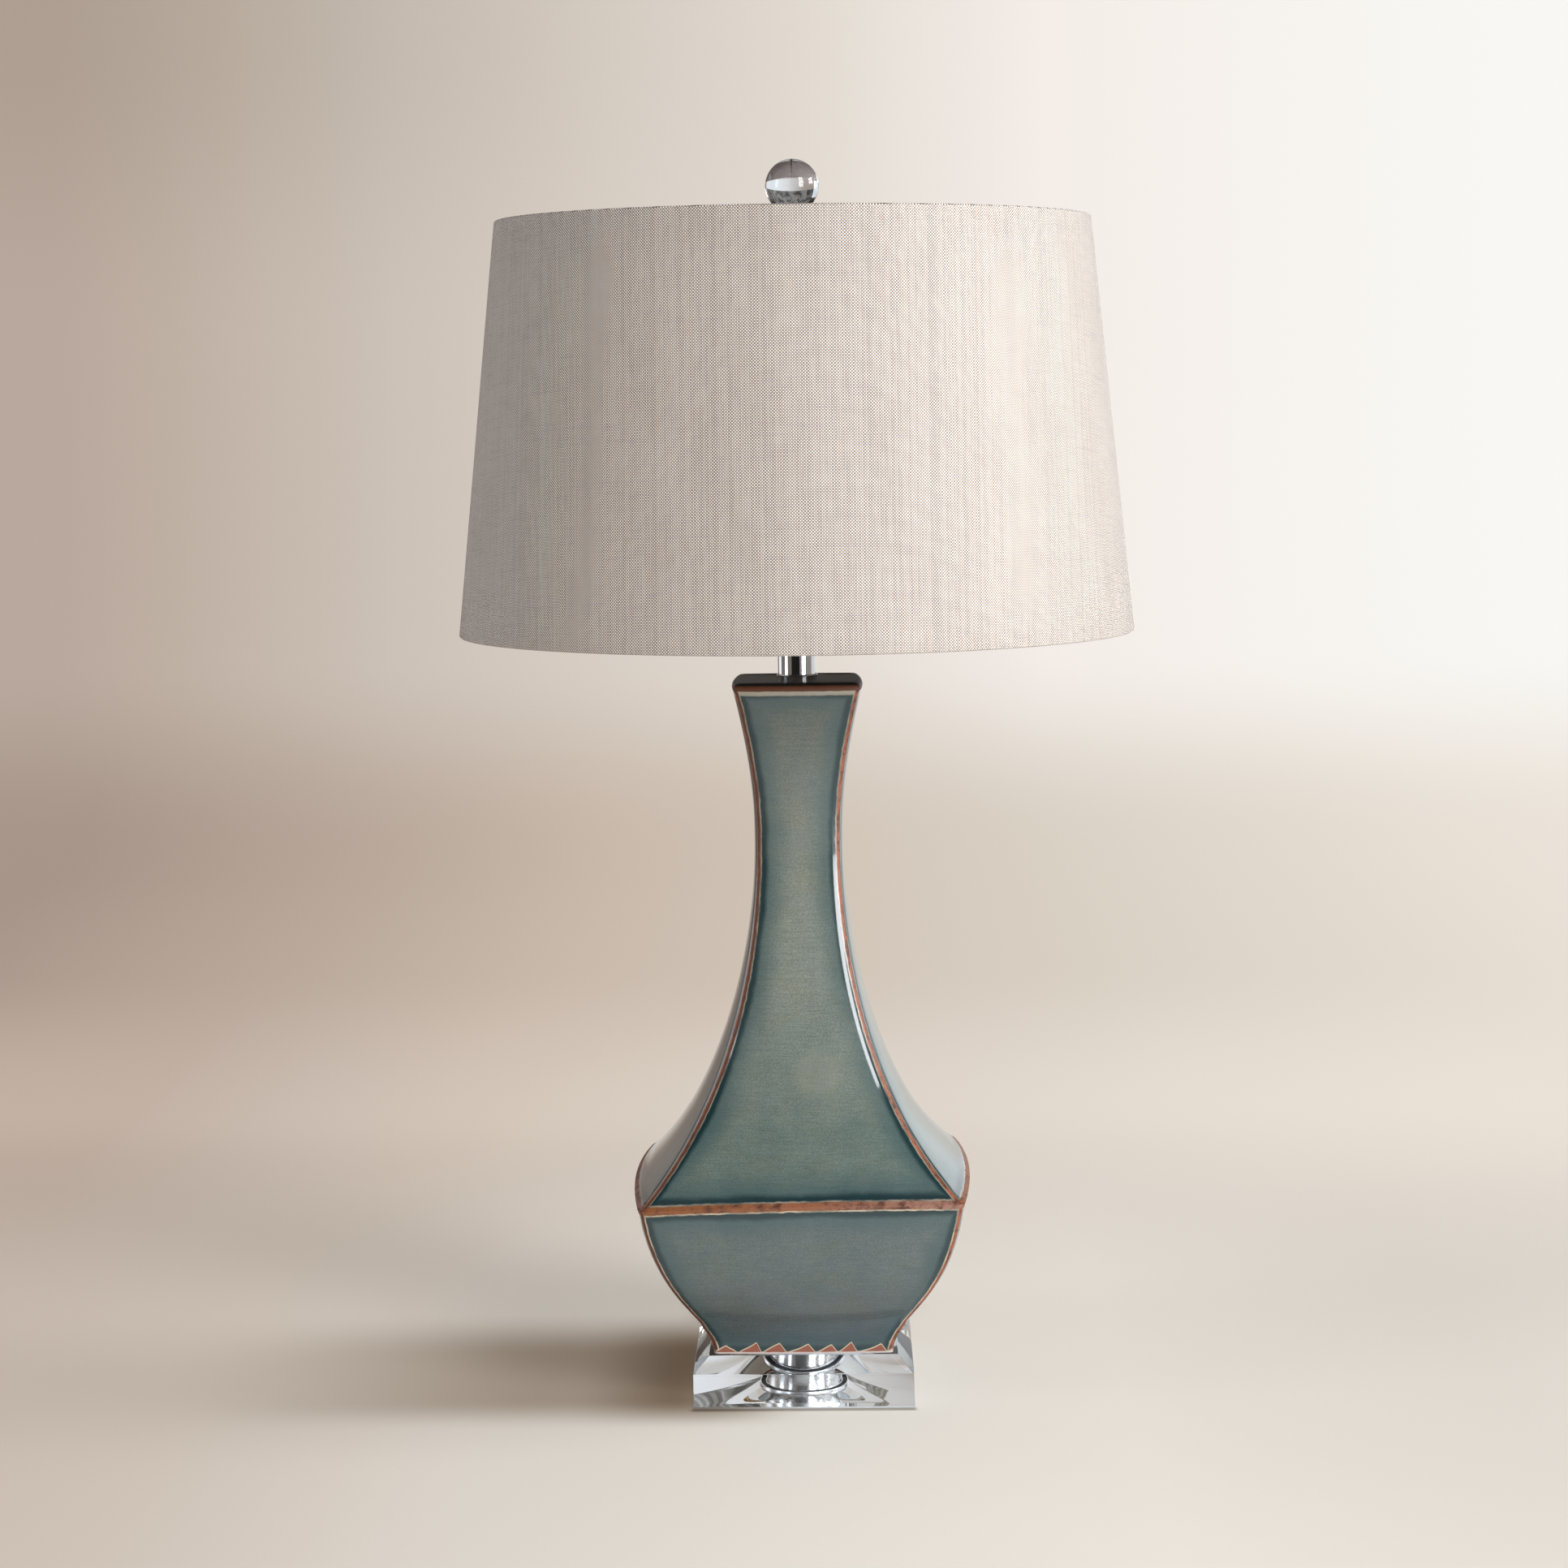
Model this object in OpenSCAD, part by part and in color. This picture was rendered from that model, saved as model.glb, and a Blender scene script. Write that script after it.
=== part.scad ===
// Urn table lamp: a square waisted ceramic vase on a clear bevelled block, under a tapered fabric shade.
// Millimetres. The origin lies on the table below the middle of the block, +Z is up, the front faces -Y.

/* [Base block] */
// Side of the square clear block
block_w = 135.7; // [126:0.1:150]
// Thickness of the clear block
block_t = 30.3; // [26:0.1:36]
// Size of the bevel along the four top edges of the block
block_bevel = 9.6; // [4:0.1:11]
// Outer diameter of the polished tube that lines the hole down the middle of the block
tube_d = 43.4; // [40:0.2:46]
// Wall of the polished tube
tube_wall = 1.2; // [0.8:0.1:2]
// Diameter of a clear pad under the block
pad_d = 10; // [6:0.5:14]
// Thickness of a clear pad
pad_t = 1.2; // [0.8:0.1:3]
// Distance from the sides of the block to the centre of a pad
pad_inset = 14; // [9:0.5:18]

/* [Clamp] */
// Diameter of the clamp plate under the block
plate_d = 50; // [48:1:76]
// Thickness of the clamp plate
plate_t = 1.2; // [1:0.1:1.6]
// Depth of the round recess that takes the plate
plate_recess = 1.6; // [1.6:0.1:2.4]
// Height of the cup pressed up in the middle of the plate
cup_h = 6; // [5.2:0.1:9]
// Outer diameter of the threaded pipe that holds the lamp together
rod_d = 9.8; // [9.4:0.1:10.4]
// Bore of the threaded pipe
rod_bore = 6.8; // [6.4:0.1:7.4]
// Width across the flats of a pipe nut
nut_flats = 14.3; // [13.5:0.1:16]
// Thickness of a pipe nut
nut_t = 3; // [2.5:0.1:3.4]
// Thickness of the lock washer
washer_t = 1.1; // [0.8:0.1:1.3]

/* [Vase] */
// Half width of the foot across two flat faces
foot_half = 55.1; // [50:0.1:57]
// Half width at the shoulder ridge
shoulder_half = 98.1; // [85:0.1:110]
// Half width at the waist of the neck
waist_half = 26.1; // [24:0.1:34]
// Half width at the mouth
mouth_half = 38.8; // [34:0.1:46]
// Height of the shoulder ridge above the foot
shoulder_h = 101; // [80:0.2:120]
// Height of the waist above the foot
waist_h = 313.7; // [270:0.1:330]
// Height of the mouth above the foot, where its lip starts to round over
mouth_h = 409.4; // [380:0.1:440]
// Radius of the rounded lip
lip_r = 4; // [2.5:0.1:5]
// How far the four faces bow out at the shoulder
shoulder_bow = 6; // [2:0.1:9]
// How far the four faces bow out along the neck
neck_bow = 1.6; // [0.5:0.1:3]
// How far the shoulder ridge arches up in the middle of a face
ridge_arch = 2.4; // [0:0.1:5]
// Rounding of the corner ridges
ridge_r = 2.6; // [1.5:0.1:4]
// Thickness of the ceramic wall
vase_wall = 7; // [5:0.5:9]
// Thickness of the floor and of the top panel
vase_floor = 7; // [5:0.5:10]

/* [Neck] */
// Outer diameter of the polished neck tube
neck_d = 23.8; // [23:0.1:28]
// Wall of the neck tube
neck_wall = 1; // [0.7:0.1:1.6]
// Length of the neck tube
neck_l = 44.6; // [38:0.2:60]
// Wall of the collar round the foot of the neck tube
collar_wall = 0.8; // [0.6:0.1:3]
// Height of the collar
collar_h = 3.3; // [2.5:0.1:6]

/* [Socket] */
// Outer diameter of the socket shell
shell_d = 33; // [32:0.2:36]
// Wall of the shell and of its cap
shell_wall = 0.8; // [0.5:0.1:1]
// Height of the cap
cap_h = 22; // [20:0.5:26]
// Height of the open end of the shell above the saddle
shell_top = 62; // [60:0.5:68]
// Thickness of the paper sleeve inside the shell
sleeve_t = 0.7; // [0.4:0.1:0.9]
// Diameter of the switch shaft
shaft_d = 3.2; // [2.6:0.1:4]
// Diameter of the switch knob
knob_d = 10; // [8:0.5:13]
// Length of the switch knob
knob_l = 14; // [10:0.5:20]

/* [Bulb] */
// Diameter of the bulb
bulb_d = 60; // [50:1:68]
// Length of the bulb from its contact to its crown
bulb_l = 110; // [100:1:118]
// Diameter of the bulb's screw base
bulb_base_d = 26.2; // [25.9:0.1:26.3]
// Thickness of the bulb's glass
bulb_wall = 0.8; // [0.6:0.1:1.2]

/* [Harp] */
// Height of the harp from its saddle to the seat of the shade
harp_h = 221.5; // [210:0.5:250]
// Diameter of the harp's wire
harp_wire = 3.6; // [3:0.1:4]
// Largest half width of the harp
harp_half = 58; // [52:1:66]
// Width of the saddle strip
saddle_w = 12.7; // [11:0.1:16]
// Thickness of the saddle strip
saddle_t = 1.6; // [1.2:0.1:2]
// Distance from the middle of the saddle to its upright tongues
saddle_half = 30; // [28:0.5:34]
// Height of the saddle's shoulders, where the ferrules stand
saddle_rise = 12; // [10:0.5:16]
// Length of a ferrule
ferrule_l = 12; // [10:0.5:16]
// How far a ferrule lifts to free the harp
ferrule_lift = 15; // [14:0.5:18]

/* [Shade] */
// Radius of the shade at its top edge
shade_top_r = 181.7; // [150:0.1:200]
// Radius of the shade at its bottom edge
shade_bottom_r = 207.8; // [190:0.1:230]
// Height of the shade
shade_h = 251.6; // [230:0.2:275]
// Thickness of the fabric
fabric_t = 0.8; // [0.5:0.1:1.5]
// Thickness of the stiff liner behind the fabric
liner_t = 0.5; // [0.3:0.1:1]
// How far the spider's washer lies below the top edge
spider_drop = 9.2; // [6:0.1:20]
// Diameter of the wire in the top ring and in the spider's arms
spider_wire = 3.6; // [3:0.1:5]
// Diameter of the wire in the bottom ring
ring_wire = 2.6; // [2:0.1:4]

/* [Finial] */
// Diameter of the clear ball
ball_d = 32.8; // [26:0.1:40]
// Height of the finial's metal base below the ball
finial_base_h = 9.3; // [9:0.1:16]
// Diameter of the stud on top of the harp
stud_d = 6.2; // [5.8:0.1:6.6]
// Length of the stud above its disc
stud_l = 11; // [9:0.5:12]

/* [Cord] */
// Width of the flat twin cord
cord_w = 5.4; // [4.8:0.1:5.6]
// Thickness of the flat twin cord
cord_t = 2.8; // [2.4:0.1:2.9]
// Height above the foot of the hole that the cord leaves the vase by
cord_hole_h = 21.6; // [20:0.2:30]
// Length of the tapered strain relief outside the vase
relief_l = 24; // [20:1:30]
// Turns of the put away cord
coil_turns = 8.5; // [6.5:1:10.5]
// Radius of the outermost turn at the middle of the cord
coil_r = 37; // [34:0.5:40]

/* [Plug] */
// Width of the plug's body
plug_w = 22; // [20:0.5:26]
// Thickness of the plug's body
plug_t = 12; // [11:0.5:15]
// Length of the plug's body
plug_l = 26; // [22:0.5:32]
// Distance between the two blades
blade_gap = 12.7; // [12:0.1:13]
// Length of the blades
blade_l = 16; // [15:0.5:18]

/* [Hidden] */
$fn = 96;

// Clearances: a loose hole round the pipe, a slip fit, a running fit, a gap between seats that turn, and a
// cut that runs past a face
hole_gap = 0.6;
slip = 0.1;
run_gap = 0.06;
seat_gap = 0.1;
past = 1;

// Heights of the stack, from the table upwards
block_z = pad_t;
plate_z = block_z + plate_recess;
block_hole_d = tube_d + 2*slip;
foot_z = block_z + block_t;
panel_drop = 0.6;
lip_z = foot_z + mouth_h + lip_r;
panel_z = lip_z - panel_drop;
collar_floor = 1;
neck_z = panel_z + collar_floor;
cap_disc_t = 1.6;
cap_spigot = 4;
neck_top_z = neck_z + neck_l;
nut_z = neck_top_z + cap_disc_t;
saddle_z = nut_z + nut_t;
socket_z = saddle_z + saddle_t;
harp_top_z = saddle_z + harp_h;
shade_top_z = harp_top_z + seat_gap + spider_drop;
shade_bottom_z = shade_top_z - shade_h;

// The clamp stack under the block
cup_gap = 0.3;
cup_d = tube_d - 2*tube_wall - 2*cup_gap;
cup_roof_z = plate_z + cup_h - plate_t;
clamp_nut_z = cup_roof_z - washer_t - nut_t;
rod_stub = 1;
rod_bottom_z = clamp_nut_z - rod_stub;
rod_in_cap = 8;
rod_top_z = socket_z + rod_in_cap;

// Vase outline: three cubic curves of half width and height. Each pull is the share of a curve's own rise or
// change of width at which its control points lie.
bowl_curve = [
    [foot_half, 0],
    [foot_half + 0.04*(shoulder_half - foot_half), 0.24*shoulder_h],
    [shoulder_half - 0.205*(shoulder_half - foot_half), 0.367*shoulder_h],
    [shoulder_half, shoulder_h]
];
neck_rise = waist_h - shoulder_h;
neck_curve = [
    [shoulder_half, shoulder_h],
    [waist_half - 0.01*(shoulder_half - waist_half), shoulder_h + 0.33*neck_rise],
    [waist_half, shoulder_h + 0.91*neck_rise],
    [waist_half, waist_h]
];
mouth_rise = mouth_h - waist_h;
mouth_curve = [
    [waist_half, waist_h],
    [waist_half, waist_h + 0.27*mouth_rise],
    [waist_half + 0.125*(mouth_half - waist_half), waist_h + 0.5*mouth_rise],
    [mouth_half, mouth_h]
];
bowl_steps = 12;
neck_steps = 20;
mouth_steps = 8;
lip_steps = 3;
lip_inset = 2;
foot_bow = 1;

function cubic(c, t) =
    pow(1 - t, 3)*c[0] + 3*t*pow(1 - t, 2)*c[1] + 3*t*t*(1 - t)*c[2] + pow(t, 3)*c[3];

outline = concat(
    [for (i = [0:bowl_steps]) cubic(bowl_curve, i/bowl_steps)],
    [for (i = [1:neck_steps]) cubic(neck_curve, i/neck_steps)],
    [for (i = [1:mouth_steps]) cubic(mouth_curve, i/mouth_steps)]
);
lip = concat(
    [for (i = [1:lip_steps])
        let (a = 90*i/lip_steps)
        [mouth_half - lip_r*(1 - cos(a)), mouth_h + lip_r*sin(a)]],
    [[mouth_half - lip_r - lip_inset, mouth_h + lip_r - panel_drop]]
);
half_by_height = [for (p = outline) [p[1], p[0]]];
function half_at(h) = lookup(h, half_by_height);
// Bow of a face: small at the foot, full at the shoulder, then fading up the neck
function bow_at(h) =
    h < shoulder_h ? foot_bow + (shoulder_bow - foot_bow)*sin(90*h/shoulder_h) :
    h < waist_h ? neck_bow + (shoulder_bow - neck_bow)*pow(1 - pow((h - shoulder_h)/neck_rise, 2), 2) :
    neck_bow;
// Arch of a level line, which is full at the shoulder and gone within its reach
arch_reach = 45;
function arch_at(h) = ridge_arch*max(0, 1 - abs(h - shoulder_h)/arch_reach);
// Points of one level of the vase: four bowed sides of n steps, joined by corners of m steps
function level(half, h, r, n, m) = [
    for (q = [0:3])
        for (p = concat(
            [for (k = [0:n])
                let (s = 2*k/n - 1)
                [half + bow_at(h)*(1 - s*s), s*(half - r), h + arch_at(h)*(1 - s*s)]],
            [for (j = [1:m - 1])
                let (a = 90*j/m)
                [half - r + r*cos(a), half - r + r*sin(a), h]]))
            [p[0]*cos(90*q) - p[1]*sin(90*q), p[0]*sin(90*q) + p[1]*cos(90*q), p[2]]
];
// Skin over a list of closed levels that all have the same number of points
module skin(levels) {
    n = len(levels[0]);
    last = len(levels) - 1;
    sides = [
        for (i = [0:last - 1])
            for (j = [0:n - 1])
                let (a = i*n + j, b = i*n + (j + 1)%n)
                each [[a, a + n, b], [b, a + n, b + n]]
    ];
    ends = [[for (j = [0:n - 1]) j], [for (j = [n - 1:-1:0]) last*n + j]];
    polyhedron([for (l = levels) each l], concat(sides, ends), convexity = 6);
}
outer_levels = [for (p = concat(outline, lip)) level(p[0], p[1], ridge_r, 8, 4)];
cavity_low = vase_floor;
cavity_high = mouth_h + lip_r - panel_drop - vase_floor;
cavity_heights = concat(
    [cavity_low],
    [for (i = [2:2:len(outline) - 2])
        if (outline[i][1] > cavity_low + 2 && outline[i][1] < cavity_high - 2) outline[i][1]],
    [cavity_high]
);
inner_r = 6;
inner_levels = [for (h = cavity_heights) level(half_at(h) - vase_wall, h, inner_r, 4, 2)];

// The cord's hole, square to the back face of the bowl
function back_at(h) = half_at(h) + bow_at(h);
hole_slope = (back_at(cord_hole_h + 2) - back_at(cord_hole_h - 2))/4;
hole_tilt = atan(hole_slope);
hole_at = [0, back_at(cord_hole_h), foot_z + cord_hole_h];
relief_flange_t = 1.6;
relief_neck_d = 9;
exit_out = relief_flange_t + relief_l;
exit_at = hole_at + exit_out*[0, cos(hole_tilt), -sin(hole_tilt)];

// Cord: section, sweep and coil
lobe = cord_t/2;
lobe_at = cord_w/2 - lobe;
web = 0.62*lobe;
cord_section = [
    for (side = [1, -1])
        each concat(
            [for (a = [-90, -30, 30, 90]) [side*(lobe_at + lobe*cos(a)), side*lobe*sin(a)]],
            [[0, side*web]]
        )
];
turn_section = [
    for (p = [[0.5, 0], [0.3, 0.5], [-0.3, 0.5], [-0.5, 0], [-0.3, -0.5], [0.3, -0.5]])
        [p[0]*cord_w, p[1]*cord_t]
];
function unit(v) = v/norm(v);
// Tangent at point i, square to the given end directions at the ends
function heading(p, i, first, last) =
    i == 0 ? first : i == len(p) - 1 ? last : unit(unit(p[i + 1] - p[i]) + unit(p[i] - p[i - 1]));
// One ring of a flat cord that is turned by twist about its own line
function cord_ring(at, t, twist, section) =
    let (side = unit(cross(t, [0, 0, 1])), lift = cross(side, t))
    let (wide = cos(twist)*side + sin(twist)*lift, thin = cos(twist)*lift - sin(twist)*side)
    [for (s = section) at + s[0]*wide + s[1]*thin];
function ease(t) = t*t*(3 - 2*t);
module flat_cord(p, first, last, twist_from, twist_to, section) {
    n = len(p) - 1;
    skin([for (i = [0:n])
        cord_ring(p[i], heading(p, i, first, last),
            twist_from + (twist_to - twist_from)*ease(min(1, max(0, (i - 1)/(n - 2)))), section)]);
}

coil_at = [-14, 150];
coil_steps = 24;
turn_gap = 0.45;
layer_gap = 0.6;
coil_lift = 0.7;
turn_pitch = cord_t + turn_gap;
layer_z = [coil_lift + cord_w/2, coil_lift + cord_w/2 + cord_w + layer_gap];
// Radius and height of the cord's middle, u turns from where the spiral turns back. It winds inwards at a
// steady rate, runs round once as it climbs a layer, and winds outwards above.
climb = 0.25;
step_out = 0.75;
function coil_inwards(u) =
    abs(u) < climb ? 0 :
    abs(u) < step_out ? turn_pitch*(abs(u) - climb)/(step_out - climb) :
    turn_pitch*(1 + abs(u) - step_out);
function coil_radius(u) = coil_r - coil_inwards(coil_turns/2) + coil_inwards(u);
function coil_height(u) =
    layer_z[0] + (layer_z[1] - layer_z[0])*ease(min(1, max(0, (u + climb)/(2*climb))));
function coil_point(k) =
    let (u = k/coil_steps - coil_turns/2, a = 90 + 360*k/coil_steps)
    [coil_at[0] + coil_radius(u)*cos(a), coil_at[1] + coil_radius(u)*sin(a), coil_height(u)];
coil_count = coil_turns*coil_steps;
coil_in = coil_point(0) + [cord_w, 0, 0];
coil_out = coil_point(coil_count) + [cord_w, 0, 0];
coil_path = concat([coil_in], [for (k = [0:coil_count]) coil_point(k)], [coil_out]);
// Least gap between two turns at the same side of the coil
function turns_gap(a, b) =
    let (ua = a/coil_steps - coil_turns/2, ub = b/coil_steps - coil_turns/2)
    max(abs(coil_radius(ua) - coil_radius(ub)) - cord_t, abs(coil_height(ua) - coil_height(ub)) - cord_w);
coil_least_gap = min([
    for (k = [0:coil_count])
        for (j = [1:floor(coil_turns)])
            if (k + j*coil_steps <= coil_count) turns_gap(k, k + j*coil_steps)
]);
echo(coil_least_gap = coil_least_gap);

// Route of the cord from the strain relief to the coil, and from the coil to the plug
run_points = [
    [0, 96.4, 30.6], [2.6, 103.5, 27.6], [7.8, 111, 25], [14.5, 118.6, 22.3], [21, 127, 19.2],
    [26.6, 136.3, 15.9], [30.4, 146.6, 12.6], [31.6, 157.3, 9.5], [30, 167.5, 7], [25.6, 176, 5.2],
    [18.8, 182.6, 4.2], [10.4, 186.4, 3.6], [1.2, 187.6, 3.4]
];
tail_points = [
    [-2, 113, 9], [4.5, 113, 7.8], [11, 113, 6.2], [17.5, 113, 4.7], [24, 113.4, 3.4], [30, 114.4, 2.4],
    [35.5, 116.4, 1.9], [41, 120, 1.7], [46, 125, 1.8], [50, 132, 2.2], [52, 139, 3], [53, 145, 4.2]
];
plug_at = [53.5, 158, plug_t/2];
plug_relief_l = 8;
tail_end = plug_at - [0, plug_relief_l, 0];
run_path = concat([exit_at, exit_at + 0.9*cord_w*[0, cos(hole_tilt), -sin(hole_tilt)]], run_points, [coil_in]);
tail_path = concat([coil_out], tail_points, [tail_end]);
echo(exit_at = exit_at, coil_in = coil_in, coil_out = coil_out, tail_end = tail_end, hole_at = hole_at);
function path_length(p) = len(p) < 2 ? 0 : sum([for (i = [1:len(p) - 1]) norm(p[i] - p[i - 1])]);
function sum(v, i = 0) = i >= len(v) ? 0 : v[i] + sum(v, i + 1);
echo(run = path_length(run_path), coil = path_length(coil_path), tail = path_length(tail_path));

// Small shared shapes
module ring(outer_d, inner_d, h) {
    difference() {
        cylinder(d = outer_d, h = h);
        translate([0, 0, -past]) cylinder(d = inner_d, h = h + 2*past);
    }
}
module hex_nut(flats, bore, h) {
    difference() {
        intersection() {
            cylinder(d = flats/cos(30), h = h, $fn = 6);
            union() {
                cylinder(d1 = flats, d2 = flats/cos(30), h = h/5);
                translate([0, 0, h/5]) cylinder(d = flats/cos(30), h = 3*h/5);
                translate([0, 0, 4*h/5]) cylinder(d1 = flats/cos(30), d2 = flats, h = h/5);
            }
        }
        translate([0, 0, -past]) cylinder(d = bore, h = h + 2*past);
    }
}
// Round bar between two points
module bar(a, b, d) {
    run = b - a;
    translate(a)
        rotate([0, acos(run[2]/norm(run)), atan2(run[1], run[0])])
        cylinder(d = d, h = norm(run), $fn = 32);
}

// Base
module foot_pads() {
    color("whitesmoke")
    for (x = [-1, 1], y = [-1, 1])
        translate([x*(block_w/2 - pad_inset), y*(block_w/2 - pad_inset), 0]) {
            cylinder(d1 = pad_d - pad_t, d2 = pad_d, h = pad_t/2);
            translate([0, 0, pad_t/2]) cylinder(d = pad_d, h = pad_t/2);
        }
}
// Bevelled slab across one direction; two of them crossed give the mitred block
module bevelled_slab() {
    half = block_w/2;
    rotate([90, 0, 0])
        linear_extrude(height = block_w, center = true)
        polygon([
            [-half, 0], [half, 0], [half, block_t - block_bevel], [half - block_bevel, block_t],
            [block_bevel - half, block_t], [-half, block_t - block_bevel]
        ]);
}
module base_block() {
    color("azure", 0.4)
    translate([0, 0, block_z])
    difference() {
        intersection() {
            bevelled_slab();
            rotate([0, 0, 90]) bevelled_slab();
        }
        translate([0, 0, -past]) cylinder(d = block_hole_d, h = block_t + 2*past);
        translate([0, 0, -past]) cylinder(d = plate_d + 2*hole_gap, h = plate_recess + past);
    }
}
module base_tube() {
    color("gainsboro")
    translate([0, 0, plate_z]) ring(tube_d, tube_d - 2*tube_wall, foot_z - plate_z);
}
module clamp_plate() {
    color("silver")
    difference() {
        union() {
            translate([0, 0, plate_z - plate_t]) cylinder(d = plate_d, h = plate_t);
            translate([0, 0, plate_z - plate_t]) cylinder(d = cup_d, h = cup_h + plate_t);
        }
        translate([0, 0, plate_z - plate_t - past])
            cylinder(d = cup_d - 2*plate_t, h = cup_h + past);
        translate([0, 0, plate_z]) cylinder(d = rod_d + hole_gap, h = cup_h + past);
    }
}
module lock_washer() {
    color("darkgray")
    translate([0, 0, cup_roof_z - washer_t])
    difference() {
        ring(rod_d + 7, rod_d + hole_gap, washer_t);
        translate([0, -washer_t/2, -past]) cube([rod_d, washer_t, washer_t + 2*past]);
    }
}
module clamp_nut() {
    color("goldenrod")
    translate([0, 0, clamp_nut_z]) hex_nut(nut_flats, rod_d + 2*slip, nut_t);
}
module threaded_pipe() {
    lead_in = 0.6;
    slot_w = 6.4;
    slot_l = 34;
    slot_z = foot_z + cord_hole_h + 30;
    color("darkgoldenrod")
    difference() {
        union() {
            translate([0, 0, rod_bottom_z]) cylinder(d1 = rod_d - lead_in, d2 = rod_d, h = lead_in);
            translate([0, 0, rod_bottom_z + lead_in])
                cylinder(d = rod_d, h = rod_top_z - rod_bottom_z - 2*lead_in);
            translate([0, 0, rod_top_z - lead_in]) cylinder(d1 = rod_d, d2 = rod_d - lead_in, h = lead_in);
        }
        translate([0, 0, rod_bottom_z - past]) cylinder(d = rod_bore, h = rod_top_z - rod_bottom_z + 2*past);
        translate([-slot_w/2, 0, slot_z]) cube([slot_w, rod_d, slot_l]);
    }
}

// Vase
module vase() {
    color("cadetblue")
    difference() {
        translate([0, 0, foot_z])
        difference() {
            skin(outer_levels);
            skin(inner_levels);
        }
        translate([0, 0, foot_z - past]) cylinder(d = rod_d + 2*hole_gap, h = panel_z - foot_z + 2*past);
        translate(hole_at)
            rotate([-90 - hole_tilt, 0, 0])
            translate([0, 0, -2*vase_wall])
            cylinder(d = relief_neck_d + 2*slip, h = 3*vase_wall);
    }
}
// The relief points along its own Z here: a neck through the wall, a flange on it and a ribbed taper
relief_inner_l = vase_wall + 2;
module strain_relief() {
    tip_d = cord_w + 2.2;
    rib_w = 1.6;
    ribs = 4;
    rib_step = relief_l/(ribs + 1);
    color("white", 0.8)
    translate(hole_at)
    rotate([-90 - hole_tilt, 0, 0]) {
        translate([0, 0, -relief_inner_l]) cylinder(d = relief_neck_d, h = relief_inner_l + relief_flange_t);
        translate([0, 0, seat_gap]) cylinder(d = relief_neck_d + 5, h = relief_flange_t - seat_gap);
        translate([0, 0, relief_flange_t]) cylinder(d1 = relief_neck_d + 1, d2 = tip_d, h = relief_l);
        for (i = [1:ribs])
            translate([0, 0, relief_flange_t + i*rib_step - rib_w/2])
                cylinder(d = relief_neck_d + 2.2 - 0.5*i, h = rib_w);
    }
}

// Neck
module neck_collar() {
    collar_d = neck_d + 2*slip + 2*collar_wall;
    color("gainsboro")
    translate([0, 0, panel_z])
    difference() {
        union() {
            cylinder(d = collar_d, h = collar_h - collar_wall);
            translate([0, 0, collar_h - collar_wall])
                cylinder(d1 = collar_d, d2 = collar_d - 2*collar_wall + 0.4, h = collar_wall);
        }
        translate([0, 0, collar_floor]) cylinder(d = neck_d + 2*slip, h = collar_h);
        translate([0, 0, -past]) cylinder(d = rod_d + hole_gap, h = collar_h);
    }
}
module neck_tube() {
    color("gainsboro")
    translate([0, 0, neck_z]) ring(neck_d, neck_d - 2*neck_wall, neck_l);
}
module neck_cap() {
    color("gainsboro")
    difference() {
        union() {
            translate([0, 0, neck_top_z]) cylinder(d = neck_d + 2*collar_wall, h = cap_disc_t);
            translate([0, 0, neck_top_z - cap_spigot])
                cylinder(d = neck_d - 2*neck_wall - 2*slip, h = cap_spigot);
        }
        translate([0, 0, neck_top_z - cap_spigot - past])
            cylinder(d = rod_d + hole_gap, h = cap_spigot + cap_disc_t + 2*past);
    }
}
module neck_nut() {
    color("goldenrod")
    translate([0, 0, nut_z]) hex_nut(nut_flats, rod_d + 2*slip, nut_t);
}

// Saddle and harp. A leg's line lies outside its tongue, and a ferrule goes round both.
tongue_w = 4;
leg_x = saddle_half + saddle_t + harp_wire/2 + 0.05;
ferrule_x = (saddle_half + leg_x + harp_wire/2)/2;
ferrule_bore = 2*norm([ferrule_x - saddle_half, tongue_w/2]) + 2*0.25;
ferrule_wall = 0.8;
shoulder_z = saddle_z + saddle_rise;
tongue_l = ferrule_l + 2;
module harp_saddle() {
    foot_half_l = saddle_half - saddle_rise;
    color("darkgoldenrod")
    difference() {
        union() {
            for (m = [0, 1]) mirror([m, 0, 0]) {
                rotate([90, 0, 0])
                    translate([0, 0, -saddle_w/2])
                    linear_extrude(height = saddle_w)
                    polygon([
                        [0, saddle_z], [foot_half_l + saddle_t, saddle_z],
                        [saddle_half + saddle_t, shoulder_z - saddle_t],
                        [saddle_half + saddle_t, shoulder_z], [saddle_half, shoulder_z],
                        [saddle_half, shoulder_z - saddle_t*0.6],
                        [foot_half_l + saddle_t*0.4, saddle_z + saddle_t], [0, saddle_z + saddle_t]
                    ]);
                translate([saddle_half, -tongue_w/2, shoulder_z - past])
                    cube([saddle_t, tongue_w, tongue_l + past]);
            }
        }
        translate([0, 0, saddle_z - past]) cylinder(d = rod_d + hole_gap, h = saddle_t + 2*past);
    }
}
// The harp's wire: one leg's line from its foot, out along the flare, up the side, over and into the disc. A
// bend is given by its centre, radius, first angle, last angle and steps.
leg_bottom_z = shoulder_z + seat_gap;
flare = 25;
flare_r = 26;
crown_r = 46;
disc_d = 17;
disc_t = 4;
wire_in_disc = 2;
wire_sides = 12;
leg_straight = tongue_l + ferrule_lift + 1;
flare_end = [
    leg_x + flare_r*(1 - cos(flare)),
    leg_bottom_z + leg_straight + flare_r*sin(flare)
];
side_start_x = harp_half - crown_r*(1 - cos(flare));
side_start_z = flare_end[1] + (side_start_x - flare_end[0])/tan(flare);
crown_z = harp_top_z - disc_t/2;
function bend(middle, r, from, to, steps) = [
    for (i = [0:steps])
        let (a = from + (to - from)*i/steps)
        [middle[0] + r*cos(a), middle[1] + r*sin(a)]
];
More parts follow.
